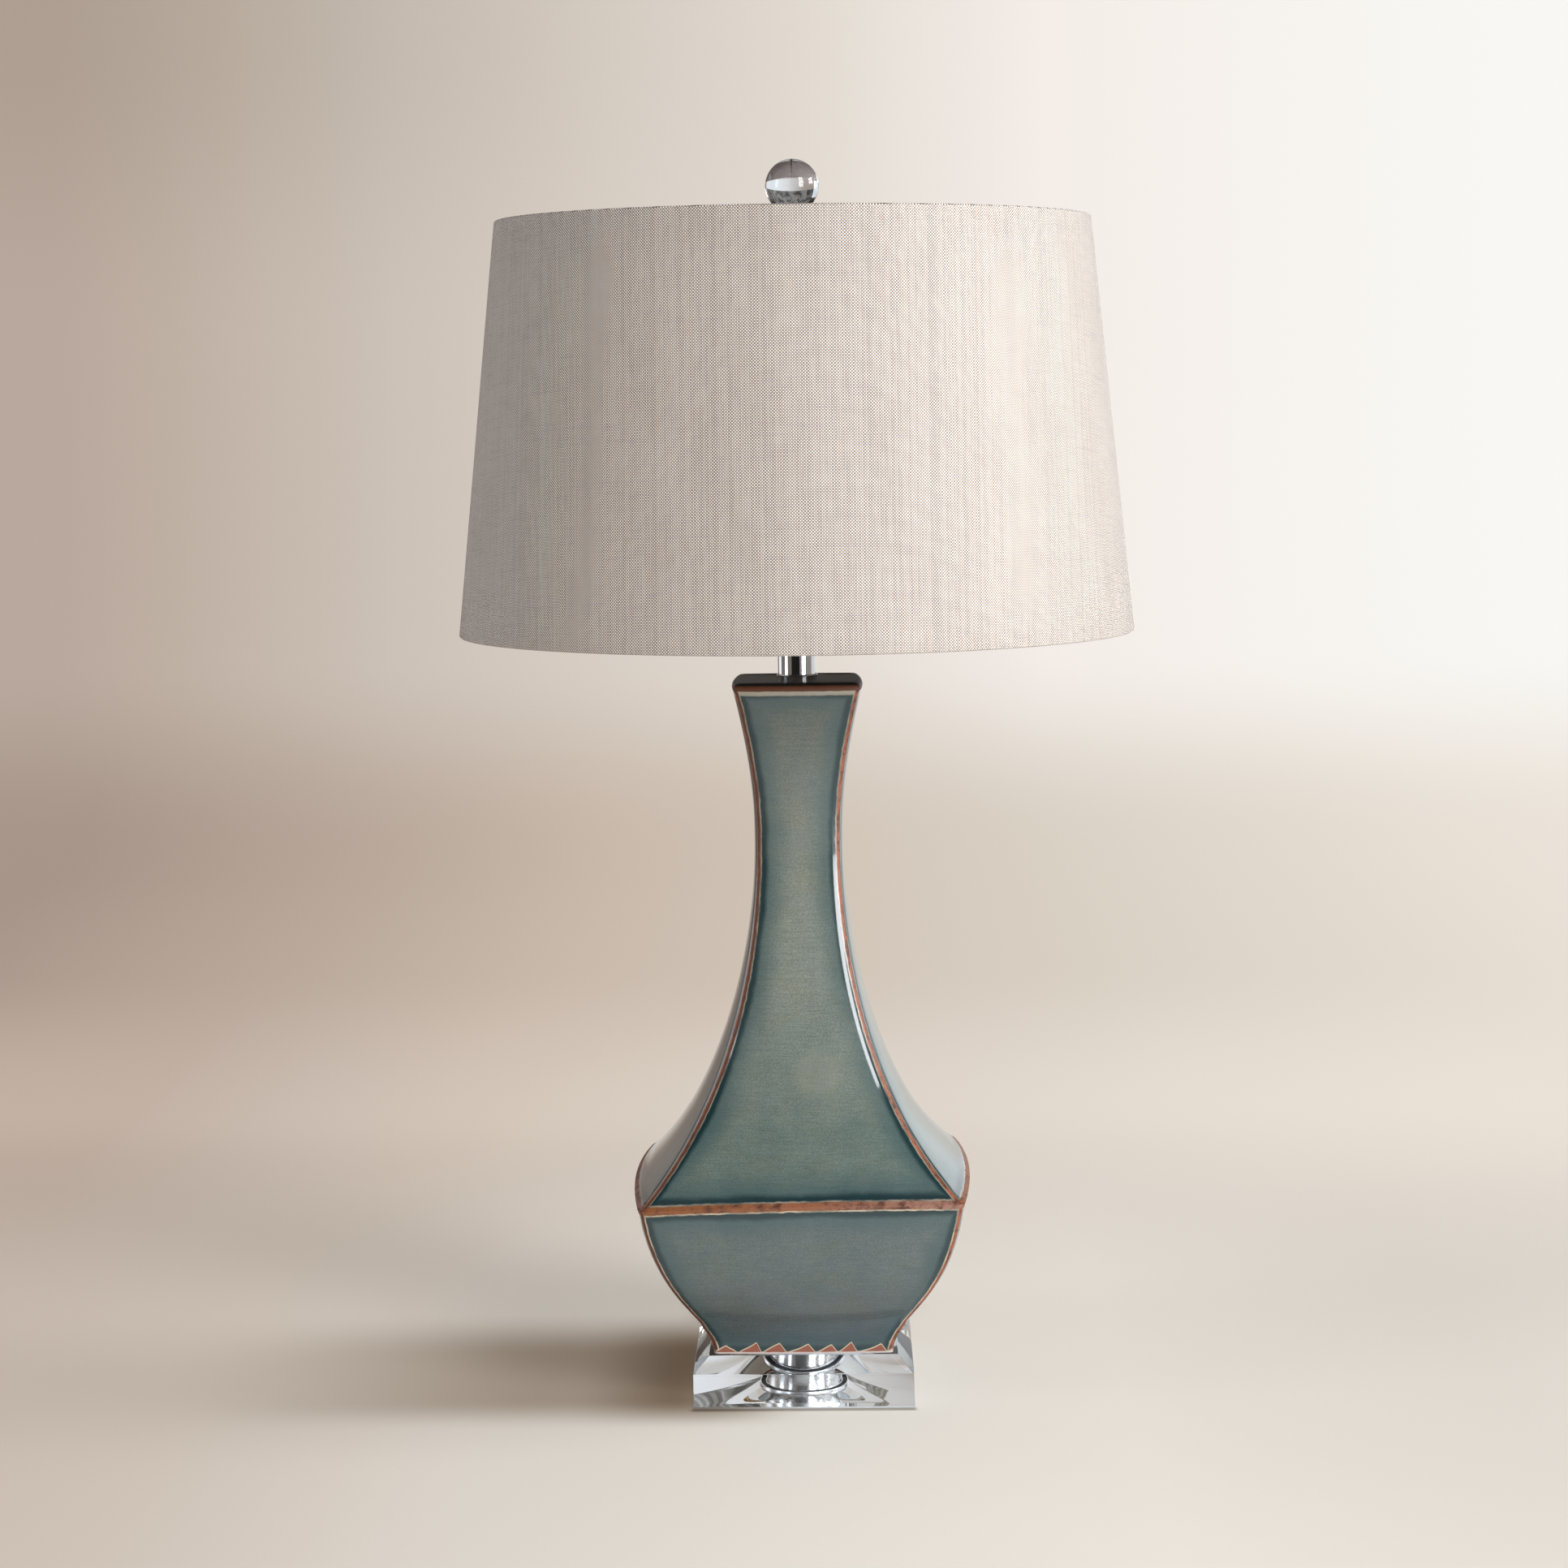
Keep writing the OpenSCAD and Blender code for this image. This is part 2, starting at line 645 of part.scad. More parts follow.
harp_line = concat(
    [[leg_x, leg_bottom_z]],
    bend([leg_x + flare_r, leg_bottom_z + leg_straight], flare_r, 180, 180 - flare, 4),
    bend([harp_half - crown_r, side_start_z + crown_r*sin(flare)], crown_r, -flare, 0, 5),
    bend([harp_half - crown_r, crown_z - crown_r], crown_r, 0, 90, 14),
    [[disc_d/2 - wire_in_disc, crown_z]]
);
function wire_ring(p, t, d) = [
    for (k = [0:wire_sides - 1])
        let (a = 360*k/wire_sides)
        [p[0] + d/2*cos(a)*t[1], d/2*sin(a), p[1] - d/2*cos(a)*t[0]]
];
module harp() {
    n = len(harp_line) - 1;
    rings = [
        for (i = [0:n])
            let (
                before = unit(harp_line[i] - harp_line[max(0, i - 1)] + (i == 0 ? [0, 1] : [0, 0])),
                after = i == n ? before : unit(harp_line[i + 1] - harp_line[i])
            )
            wire_ring(harp_line[i], unit(before + after), harp_wire)
    ];
    color("goldenrod")
    difference() {
        union() {
            for (m = [0, 1]) mirror([m, 0, 0]) skin(rings);
            translate([0, 0, harp_top_z - disc_t]) cylinder(d = disc_d, h = disc_t);
        }
        translate([0, 0, harp_top_z - disc_t - past]) cylinder(d = stud_d + slip, h = disc_t + 2*past);
    }
}
// The stud comes up through the disc, with its head against the underside
module harp_stud() {
    tip = 0.8;
    head_d = 10;
    head_t = 1.2;
    shank_l = head_t + disc_t + stud_l - tip;
    color("goldenrod")
    translate([0, 0, harp_top_z - disc_t - head_t]) {
        cylinder(d = head_d, h = head_t);
        cylinder(d = stud_d, h = shank_l);
        translate([0, 0, shank_l]) cylinder(d1 = stud_d, d2 = stud_d - 2*tip, h = tip);
    }
}
module ferrule(side) {
    lip_w = 0.5;
    color("goldenrod")
    translate([side*ferrule_x, 0, shoulder_z + seat_gap])
    difference() {
        union() {
            cylinder(d = ferrule_bore + 2*ferrule_wall, h = ferrule_l);
            cylinder(d = ferrule_bore + 2*ferrule_wall + 2*lip_w, h = 2*lip_w);
            translate([0, 0, ferrule_l - 2*lip_w])
                cylinder(d = ferrule_bore + 2*ferrule_wall + 2*lip_w, h = 2*lip_w);
        }
        translate([0, 0, -past]) cylinder(d = ferrule_bore, h = ferrule_l + 2*past);
    }
}
module ferrule_left() { ferrule(-1); }
module ferrule_right() { ferrule(1); }

// Socket
cap_bore = shell_d + 2*slip;
body_d = shell_d - 2*shell_wall - 2*sleeve_t - 4*slip - 0.6;
body_z = socket_z + cap_h - 10;
body_l = 25;
switch_z = socket_z + cap_h + hole_gap + shaft_d/2;
screw_z = body_z + body_l;
screw_bore = bulb_base_d + 0.5;
screw_wall = 0.5;
hub_d = rod_d + 4.6;
hub_h = 7;
module socket_cap() {
    steps = 6;
    skirt_h = 5;
    out_r = cap_bore/2 + shell_wall;
    dome_h = cap_h - hub_h - skirt_h;
    color("darkgoldenrod")
    translate([0, 0, socket_z])
    difference() {
        rotate_extrude()
        difference() {
            polygon(concat(
                [[0, 0], [hub_d/2, 0], [hub_d/2, hub_h - 1]],
                [for (i = [0:steps])
                    let (a = 90*i/steps)
                    [hub_d/2 + (out_r - hub_d/2)*sin(a), hub_h - 1 + (dome_h + 1)*(1 - cos(a))]],
                [[out_r, cap_h], [0, cap_h]]
            ));
            polygon(concat(
                [[0, hub_h]],
                [for (i = [0:steps])
                    let (a = 90*i/steps)
                    [hub_d/2 + (cap_bore/2 - hub_d/2)*sin(a), hub_h + dome_h*(1 - cos(a))]],
                [[cap_bore/2, cap_h + past], [0, cap_h + past]]
            ));
        }
        translate([0, 0, -past]) cylinder(d = rod_d + 2*slip, h = hub_h + 2*past);
        translate([0, 0, hub_h/2]) rotate([-90, 0, 0]) cylinder(d = set_screw_d + 2*slip, h = hub_d);
    }
}
set_screw_d = 3;
module socket_set_screw() {
    slot_w = 0.7;
    l = (hub_d - rod_d)/2 + 1.2;
    color("dimgray")
    translate([0, rod_d/2 + slip, socket_z + hub_h/2])
    rotate([-90, 0, 0])
    difference() {
        cylinder(d = set_screw_d, h = l);
        translate([-set_screw_d, -slot_w/2, l - slot_w]) cube([2*set_screw_d, slot_w, 2*slot_w]);
    }
}
screw_inset = 3.6;
lead_top_z = body_z + 4;
// The body stands on the cap's hub, with flats for the terminals and a hole for the leads
module socket_body() {
    flat_x = body_d/2 - screw_inset;
    waist_l = 13;
    bottom_t = 4;
    boss_d = rod_d + 6;
    color("ivory")
    difference() {
        union() {
            translate([0, 0, socket_z + hub_h]) cylinder(d = boss_d, h = body_z + bottom_t - socket_z - hub_h);
            translate([0, 0, body_z]) cylinder(d1 = body_d - 1.6*bottom_t, d2 = body_d, h = bottom_t);
            translate([0, 0, body_z + bottom_t]) cylinder(d = body_d, h = body_l - bottom_t);
        }
        for (x = [flat_x, -flat_x - body_d])
            translate([x, -body_d, body_z - past]) cube([body_d, 2*body_d, waist_l + past]);
        translate([0, past, switch_z]) rotate([90, 0, 0]) cylinder(d = shaft_d + 2*run_gap, h = body_d);
        translate([0, 0, socket_z]) cylinder(d = rod_d + hole_gap, h = lead_top_z - socket_z);
    }
}
module terminal_screws() {
    head_d = 6;
    head_t = 2;
    color("silver")
    for (s = [-1, 1])
        translate([s*(body_d/2 - screw_inset), 0, body_z + 6])
        rotate([0, 90*s, 0])
        difference() {
            cylinder(d1 = head_d, d2 = head_d - 0.8, h = head_t);
            translate([-head_d, -0.4, head_t - 0.8]) cube([2*head_d, 0.8, 2*past]);
        }
}
module screw_shell() {
    threads = 5;
    thread_pitch = 3.6;
    bead = 0.5;
    l = 21;
    color("gold")
    translate([0, 0, screw_z])
    difference() {
        union() {
            cylinder(d = screw_bore + 2*screw_wall, h = l);
            for (i = [0:threads - 1])
                translate([0, 0, 1.6 + i*thread_pitch])
                    cylinder(d = screw_bore + 2*screw_wall + bead, h = thread_pitch/2);
        }
        translate([0, 0, screw_wall]) cylinder(d = screw_bore, h = l);
        translate([0, 0, -past]) cylinder(d = 14, h = 2*past);
    }
}
contact_rise = 3.4;
module centre_contact() {
    color("gold")
    rotate([90, 0, 0])
    translate([0, 0, -2.5])
    linear_extrude(height = 5)
    polygon([
        [-5, screw_z], [4, screw_z], [5, screw_z + contact_rise - 1], [2, screw_z + contact_rise],
        [-3, screw_z + contact_rise], [-3, screw_z + contact_rise - 0.5],
        [1.7, screw_z + contact_rise - 0.5], [4.2, screw_z + contact_rise - 1.3],
        [3.4, screw_z + 0.5], [-5, screw_z + 0.5]
    ]);
}
// The sleeve and the shell are open where the switch shaft passes
module shaft_way() {
    translate([0, 0, switch_z]) rotate([90, 0, 0]) cylinder(d = shaft_d + 2*hole_gap, h = shell_d);
}
module socket_sleeve() {
    sleeve_d = shell_d - 2*shell_wall - 2*slip;
    color("tan")
    difference() {
        translate([0, 0, socket_z + cap_h - 5]) ring(sleeve_d, sleeve_d - 2*sleeve_t, shell_top - cap_h + 4);
        shaft_way();
    }
}
module socket_shell() {
    bead = 1;
    color("darkgoldenrod")
    difference() {
        translate([0, 0, socket_z + cap_h - 5])
        difference() {
            union() {
                cylinder(d = shell_d, h = shell_top - cap_h + 5);
                translate([0, 0, 5 + slip]) cylinder(d = shell_d + 2*bead, h = bead);
                translate([0, 0, shell_top - cap_h + 5 - bead]) cylinder(d = shell_d + bead, h = bead);
            }
            translate([0, 0, -past]) cylinder(d = shell_d - 2*shell_wall, h = shell_top);
        }
        shaft_way();
    }
}
knob_gap = 2;
module switch_shaft() {
    shaft_in = 9;
    color("silver")
    translate([0, -shaft_in, switch_z])
        rotate([90, 0, 0]) cylinder(d = shaft_d, h = shell_d/2 + 1 + knob_gap - shaft_in);
}
module switch_knob() {
    flutes = 12;
    flute_d = 1.2;
    color("black")
    translate([0, -shell_d/2 - 1 - knob_gap, switch_z])
    rotate([90, 0, 0])
    difference() {
        union() {
            cylinder(d = knob_d, h = knob_l - 1);
            translate([0, 0, knob_l - 1]) cylinder(d1 = knob_d, d2 = knob_d - 2, h = 1);
        }
        for (i = [0:flutes - 1])
            rotate([0, 0, 360*i/flutes])
            translate([knob_d/2 + flute_d/4, 0, 3])
            cylinder(d = flute_d, h = knob_l, $fn = 24);
    }
}

// Bulb, which stands on its contact
bulb_z = screw_z + contact_rise + seat_gap;
bulb_tip_h = 1.4;
bulb_insulator_h = 4;
bulb_base_h = 22;
bulb_neck_r = bulb_base_d/2 - 0.6;
module bulb_contact() {
    color("silver")
    translate([0, 0, bulb_z]) {
        cylinder(d1 = 6, d2 = 9.6, h = bulb_tip_h/2);
        translate([0, 0, bulb_tip_h/2]) cylinder(d = 9.6, h = bulb_tip_h/2);
    }
}
module bulb_insulator() {
    color("black")
    translate([0, 0, bulb_z + bulb_tip_h])
        cylinder(d1 = 11, d2 = bulb_base_d - 4, h = bulb_insulator_h - bulb_tip_h);
}
module bulb_base() {
    threads = 5;
    thread_pitch = 3.2;
    groove = 0.7;
    color("silver")
    translate([0, 0, bulb_z + bulb_insulator_h])
    rotate_extrude()
    polygon(concat(
        [[0, 0], [bulb_base_d/2 - 1.6, 0]],
        [for (i = [0:threads - 1])
            each [
                [bulb_base_d/2 - groove, 1.2 + i*thread_pitch],
                [bulb_base_d/2, 1.2 + (i + 0.3)*thread_pitch],
                [bulb_base_d/2, 1.2 + (i + 0.6)*thread_pitch],
                [bulb_base_d/2 - groove, 1.2 + (i + 0.9)*thread_pitch]
            ]],
        [[bulb_neck_r, bulb_base_h], [0, bulb_base_h]]
    ));
}
// Outline of the glass, drawn in by inset: the crown's circle and the straight sides that touch it
module bulb_outline(inset) {
    r = bulb_d/2 - inset;
    seat = bulb_z + bulb_insulator_h + bulb_base_h;
    middle = bulb_z + bulb_l - bulb_d/2;
    neck = bulb_neck_r - inset;
    neck_top = seat + 5;
    lean = 90 - atan(neck/(middle - neck_top)) - acos(r/norm([neck, middle - neck_top]));
    intersection() {
        union() {
            translate([0, middle]) circle(r = r);
            polygon([
                [0, seat + inset], [neck, seat + inset], [neck, neck_top],
                [r*cos(lean), middle - r*sin(lean)], [0, middle]
            ]);
        }
        translate([0, seat + inset]) square([bulb_d, bulb_l]);
    }
}
module bulb_glass() {
    color("white", 0.9)
    rotate_extrude() difference() {
        bulb_outline(0);
        bulb_outline(bulb_wall);
    }
}

// Shade. Each skin is a cone wall: its outer radius at the top and at the bottom, and its thickness.
lean_ratio = (shade_bottom_r - shade_top_r)/shade_h;
hem_h = 6;
function shade_r(z) = shade_top_r + (shade_top_z - z)*lean_ratio;
top_ring_z = shade_top_z - fabric_t - spider_wire/2 - slip;
bottom_ring_z = shade_bottom_z + fabric_t + ring_wire/2 + slip;
liner_in = fabric_t + slip + liner_t + slip;
ring_gap = 0.3;
top_ring_r = shade_r(top_ring_z) - liner_in - spider_wire/2 - ring_gap;
bottom_ring_r = shade_r(bottom_ring_z) - liner_in - ring_wire/2 - ring_gap;
// The fabric turns in over each ring and hangs a short hem behind it, slit where an arm comes through
module shade_fabric() {
    top_in = top_ring_r - spider_wire/2 - slip;
    bottom_in = bottom_ring_r - ring_wire/2 - slip;
    slit_w = spider_wire + 0.6;
    color("tan")
    difference() {
        rotate_extrude($fn = 180)
        polygon([
            [shade_top_r - 0.5, shade_top_z], [shade_top_r, shade_top_z - 0.5],
            [shade_bottom_r, shade_bottom_z + 0.5], [shade_bottom_r - 0.5, shade_bottom_z],
            [bottom_in, shade_bottom_z], [bottom_in - fabric_t, shade_bottom_z + 0.5],
            [bottom_in - fabric_t, shade_bottom_z + hem_h], [bottom_in, shade_bottom_z + hem_h],
            [bottom_in, shade_bottom_z + fabric_t],
            [shade_r(shade_bottom_z + fabric_t) - fabric_t, shade_bottom_z + fabric_t],
            [shade_r(shade_top_z - fabric_t) - fabric_t, shade_top_z - fabric_t],
            [top_in, shade_top_z - fabric_t], [top_in, shade_top_z - hem_h],
            [top_in - fabric_t, shade_top_z - hem_h], [top_in - fabric_t, shade_top_z - 0.5],
            [top_in - fabric_t + 0.5, shade_top_z]
        ]);
        for (a = spider_arms) rotate([0, 0, a])
            translate([top_in - fabric_t - past, -slit_w/2, shade_top_z - hem_h - past])
                cube([fabric_t + past + slip/2, slit_w, hem_h + past - fabric_t - slip/2]);
    }
}
module shade_liner() {
    high = shade_top_z - fabric_t - slip;
    low = shade_bottom_z + fabric_t + slip;
    behind = fabric_t + slip;
    color("white")
    rotate_extrude($fn = 180)
    polygon([
        [shade_r(high) - behind, high], [shade_r(low) - behind, low],
        [shade_r(low) - behind - liner_t, low], [shade_r(high) - behind - liner_t, high]
    ]);
}
module shade_bottom_ring() {
    color("silver")
    rotate_extrude() translate([bottom_ring_r, bottom_ring_z]) circle(d = ring_wire, $fn = 24);
}
spider_z = harp_top_z + seat_gap;
// The hub is as thick as the wire, so that the arms leave its side and never stand above it
spider_t = spider_wire;
spider_arms = [90, 210, 330];
hub_disc_d = 22;
// A hub on the harp, three arms and the ring that carries the top of the shade
module spider() {
    arm_d = 0.95*spider_wire;
    arm_in = hub_disc_d/2 - spider_t/2;
    arm_end = spider_wire/6;
    arm_fall = (top_ring_z - spider_z - spider_wire/2)/(top_ring_r - arm_in);
    color("silver") {
        translate([0, 0, spider_z]) ring(hub_disc_d, stud_d + 2*run_gap, spider_t);
        for (a = spider_arms) rotate([0, 0, a])
            bar([arm_in, 0, spider_z + spider_wire/2], [top_ring_r - arm_end, 0, top_ring_z - arm_end*arm_fall], arm_d);
        rotate_extrude() translate([top_ring_r, top_ring_z]) circle(d = spider_wire, $fn = 48);
    }
}

// Finial
finial_z = spider_z + spider_t + seat_gap;
ball_z = finial_z + finial_base_h + ball_d/2;
// A turned foot and stem with a flared cup for the ball, tapped for the stud, and a pin that holds the ball
finial_foot_d = 14;
finial_foot_h = 2.4;
finial_stem_d = 10.6;
cup_flare_h = 1.5;
module finial_base() {
    cup_r = ball_d*0.3;
    sit = ball_d/2 - sqrt(pow(ball_d/2, 2) - pow(cup_r, 2));
    tap_h = harp_top_z + stud_l + 0.4 - finial_z;
    stem_z = finial_foot_h + 1.6;
    cup_z = finial_base_h - cup_flare_h;
    color("gainsboro")
    translate([0, 0, finial_z]) {
        difference() {
            union() {
                cylinder(d1 = finial_foot_d - 1, d2 = finial_foot_d, h = 1);
                translate([0, 0, 1]) cylinder(d = finial_foot_d, h = finial_foot_h - 1);
                translate([0, 0, finial_foot_h])
                    cylinder(d1 = finial_foot_d, d2 = finial_stem_d, h = stem_z - finial_foot_h);
                translate([0, 0, stem_z]) cylinder(d = finial_stem_d, h = cup_z - stem_z);
                translate([0, 0, cup_z]) cylinder(d1 = finial_stem_d, d2 = 2*cup_r, h = cup_flare_h + sit);
            }
            translate([0, 0, -past]) cylinder(d = stud_d + 2*run_gap, h = tap_h + past);
            translate([0, 0, finial_base_h + ball_d/2]) sphere(d = ball_d + seat_gap, $fn = 120);
        }
        translate([0, 0, cup_z]) cylinder(d = pin_d, h = cup_flare_h + pin_l);
    }
}
pin_d = 4;
pin_l = 8;
module finial_ball() {
    color("lightcyan", 0.5)
    difference() {
        translate([0, 0, ball_z]) sphere(d = ball_d, $fn = 120);
        translate([0, 0, ball_z - ball_d]) cylinder(d = pin_d + 2*slip, h = ball_d/2 + pin_l + 2*slip);
    }
}

// Cord, its tie and its plug
lead_points = [
    [0, 54, 61.5], [0, 47, 65.5], [0, 39, 68.5], [0, 31, 71], [0, 23, 75], [0, 15, 80.5], [0, 8.5, 87.5],
    [0, 3.5, 96], [0, 0.8, 105], [0, 0, 115], [0, 0, 240], [0, 0, 370]
];
module inner_lead() {
    start = hole_at - relief_inner_l*[0, cos(hole_tilt), -sin(hole_tilt)];
    route = concat([start], lead_points, [[0, 0, lead_top_z]]);
    n = len(route) - 1;
    color("beige")
    skin([for (i = [0:n])
        let (t = i == 0 ? [0, -cos(hole_tilt), sin(hole_tilt)] : i > 9 ? [0, 0, 1] :
                unit(unit(route[i + 1] - route[i]) + unit(route[i] - route[i - 1])),
            thin = cross(t, [1, 0, 0]))
        [for (s = cord_section) route[i] + s[0]*0.98*[1, 0, 0] + s[1]*thin]]);
}
module cord_run() {
    color("beige") flat_cord(run_path, [0, cos(hole_tilt), -sin(hole_tilt)], [-1, 0, 0], 0, 90, cord_section);
}
module cord_coil() {
    color("beige") flat_cord(coil_path, [-1, 0, 0], [1, 0, 0], 90, 90, turn_section);
}
module cord_tail() {
    color("beige") flat_cord(tail_path, [1, 0, 0], [0, 1, 0], 90, 0, cord_section);
}
// The tie goes round every turn on the far side of the coil
module cord_tie() {
    band_w = 6;
    band_t = 0.5;
    free = 0.12;
    inmost = (coil_radius(0) - cord_t/2)*cos(180/coil_steps);
    in_r = sqrt(pow(inmost, 2) - pow(band_w/2, 2)) - free;
    out_r = coil_radius(coil_turns/2 - climb) + cord_t/2 + free;
    low = coil_lift - free;
    high = layer_z[1] + cord_w/2 + free;
    color("black")
    translate([coil_at[0], coil_at[1], 0])
    rotate([0, 0, 180])
    translate([0, -band_w/2, 0])
    difference() {
        translate([in_r - band_t, 0, low - band_t])
            cube([out_r - in_r + 2*band_t, band_w, high - low + 2*band_t]);
        translate([in_r, -past, low]) cube([out_r - in_r, band_w + 2*past, high - low]);
    }
}
// Side outline of the plug, of a given half width at the body and at the cord's end
module plug_outline(half, neck_half) {
    shoulder = 6;
    round_off = 1.5;
    polygon([
        [-neck_half, 0], [neck_half, 0], [half, shoulder], [half, plug_l - round_off],
        [half - round_off, plug_l], [round_off - half, plug_l], [-half, plug_l - round_off], [-half, shoulder]
    ]);
}
module plug_body() {
    grips = 5;
    grip_d = 1.4;
    grip_step = 2.6;
    relief_d = cord_w + 2;
    color("beige")
    translate(plug_at) {
        rotate([90, 0, 0]) cylinder(d1 = relief_d + 2, d2 = relief_d, h = plug_relief_l);
        difference() {
            intersection() {
                translate([0, 0, -plug_t]) linear_extrude(height = 2*plug_t) plug_outline(plug_w/2, plug_w/4);
                rotate([0, -90, 0])
                    translate([0, 0, -plug_w])
                    linear_extrude(height = 2*plug_w) plug_outline(plug_t/2, plug_t*0.42);
            }
            for (s = [-1, 1], i = [0:grips - 1])
                translate([s*plug_w/2, 8.5 + i*grip_step, -plug_t])
                    cylinder(d = grip_d, h = 2*plug_t, $fn = 24);
        }
    }
}
// The wider blade is the neutral one
module plug_blades() {
    blade_t = 1.5;
    blade_w = [6.3, 7.9];
    hole_d = 3;
    color("goldenrod")
    for (i = [0, 1])
        translate(plug_at + [(i - 0.5)*blade_gap, plug_l, 0])
        difference() {
            translate([-blade_t/2, 0, -blade_w[i]/2]) cube([blade_t, blade_l, blade_w[i]]);
            translate([-blade_t, blade_l - 4, 0]) rotate([0, 90, 0]) cylinder(d = hole_d, h = 2*blade_t);
        }
}

foot_pads();
base_block();
base_tube();
clamp_plate();
lock_washer();
clamp_nut();
vase();
threaded_pipe();
strain_relief();
neck_collar();
neck_tube();
neck_cap();
neck_nut();
harp_saddle();
socket_cap();
socket_set_screw();
socket_body();
terminal_screws();
screw_shell();
centre_contact();
socket_sleeve();
socket_shell();
switch_shaft();
switch_knob();
bulb_base();
bulb_insulator();
bulb_contact();
bulb_glass();
harp();
harp_stud();
ferrule_left();
ferrule_right();
spider();
shade_bottom_ring();
shade_liner();
shade_fabric();
finial_base();
finial_ball();
inner_lead();
cord_run();
cord_coil();
cord_tie();
cord_tail();
plug_body();
plug_blades();
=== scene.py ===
"""Dresses the urn table lamp: a glazed square vase on a clear block, under a woven shade."""
import logging
import math
from dataclasses import dataclass
from enum import Enum
from functools import reduce
from itertools import accumulate
from typing import Callable, Optional, Sequence, Union

import bmesh
import bpy
from mathutils import Euler, Matrix, Vector


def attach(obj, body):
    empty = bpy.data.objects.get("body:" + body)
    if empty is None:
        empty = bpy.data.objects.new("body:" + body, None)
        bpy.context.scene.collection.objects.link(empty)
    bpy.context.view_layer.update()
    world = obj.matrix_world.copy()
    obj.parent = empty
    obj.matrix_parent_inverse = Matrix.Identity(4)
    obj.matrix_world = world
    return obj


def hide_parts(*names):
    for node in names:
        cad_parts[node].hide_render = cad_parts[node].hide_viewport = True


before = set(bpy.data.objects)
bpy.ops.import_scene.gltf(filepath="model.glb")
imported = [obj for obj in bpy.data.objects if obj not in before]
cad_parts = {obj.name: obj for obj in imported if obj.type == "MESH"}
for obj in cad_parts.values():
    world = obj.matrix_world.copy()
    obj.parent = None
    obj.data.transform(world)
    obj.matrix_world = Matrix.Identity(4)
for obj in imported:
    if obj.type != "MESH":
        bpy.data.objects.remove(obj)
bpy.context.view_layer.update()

LOG = logging.getLogger("lamp")
MM = 0.001
MERGE = 1e-6
Piece = bpy.types.Object
Material = bpy.types.Material
Rgb = tuple[float, float, float]
Place = tuple[float, float, float]
Stops = tuple[tuple[float, ...], ...]
Value = Union["Signal", float, Rgb, Vector]


class Lay(Enum):
    """How far a metal's polishing marks are squeezed along each axis, for each way that they run."""

    ROUND = (60, 60, 2600)
    ALONG = (2600, 2600, 40)
    CAST = (700, 700, 700)


# Small helpers for objects and operators


def deselect() -> None:
    """Leaves edit mode and clears the selection."""
    if bpy.context.object and bpy.context.object.mode != "OBJECT":
        bpy.ops.object.mode_set(mode="OBJECT")
    bpy.ops.object.select_all(action="DESELECT")


def activate(*pieces: Piece) -> None:
    """Makes some objects the only selected ones, and the first one the active one.

    Args:
        *pieces: The objects to select.
    """
    deselect()
    for piece in pieces:
        piece.select_set(True)
    bpy.context.view_layer.objects.active = pieces[0]


def add(name: str, primitive: Callable[..., object], **settings: object) -> Piece:
    """Adds a mesh by one of Blender's operators.

    Args:
        name: Name for the object and its mesh.
        primitive: The operator.
        **settings: Its settings.

    Returns:
        The object.
    """
    deselect()
    primitive(**settings)
    piece = bpy.context.object
    piece.name = piece.data.name = name
    return piece


def grid(name: str, across: int, along: int) -> Piece:
    """Adds a grid, to be moved into place, whose points run row by row."""
    return add(name, bpy.ops.mesh.primitive_grid_add, x_subdivisions=across, y_subdivisions=along, size=1)


def settle(piece: Piece) -> None:
    """Moves the object's place into its mesh, so that it ends at the origin, unturned and unscaled."""
    activate(piece)
    bpy.ops.object.transform_apply(location=True, rotation=True, scale=True)


def modify(piece: Piece, kind: str, **settings: object) -> None:
    """Adds one modifier and applies it.

    Args:
        piece: The object to change.
        kind: Blender's name for the modifier.
        **settings: Its settings.
    """
    activate(piece)
    modifier = piece.modifiers.new(kind.title(), kind)
    for key, value in settings.items():
        setattr(modifier, key, value)
    bpy.ops.object.modifier_apply(modifier=modifier.name)


def in_edit(piece: Piece, work: Callable[[], object]) -> None:
    """Runs operators in edit mode on the whole mesh of one object.

    Args:
        piece: The object to edit.
        work: Function that runs the operators.
    """
    activate(piece)
    bpy.ops.object.mode_set(mode="EDIT")
    bpy.ops.mesh.select_all(action="SELECT")
    work()
    bpy.ops.object.mode_set(mode="OBJECT")


def pick_edges(piece: Piece, test: Callable[[Vector], bool]) -> None:
    """Selects the edges of the edited mesh whose two ends pass a test.

    Args:
        piece: The object that is in edit mode.
        test: Says whether a point passes.
    """
    bpy.ops.mesh.select_all(action="DESELECT")
    mesh = bmesh.from_edit_mesh(piece.data)
    for edge in mesh.edges:
        edge.select = all(test(vertex.co) for vertex in edge.verts)
    mesh.select_flush(True)
    bmesh.update_edit_mesh(piece.data)


def weld(piece: Piece, distance: float = MERGE, close: bool = False) -> None:
    """Merges doubled points, closes holes if asked, and turns every face outwards.

    Args:
        piece: The object to clean.
        distance: Points closer than this become one, in metres.
        close: Whether open edges get a face.
    """

    def work() -> None:
        """Runs the operators."""
        bpy.ops.mesh.remove_doubles(threshold=distance)
        if close:
            bpy.ops.mesh.select_all(action="DESELECT")
            bpy.ops.mesh.select_non_manifold()
            bpy.ops.mesh.edge_face_add()
            bpy.ops.mesh.select_all(action="SELECT")
        bpy.ops.mesh.normals_make_consistent(inside=False)

    in_edit(piece, work)


def smooth(piece: Piece, angle: float) -> None:
    """Shades a piece smooth, with sharp edges past an angle in degrees."""
    activate(piece)
    bpy.ops.object.shade_smooth_by_angle(angle=math.radians(angle))


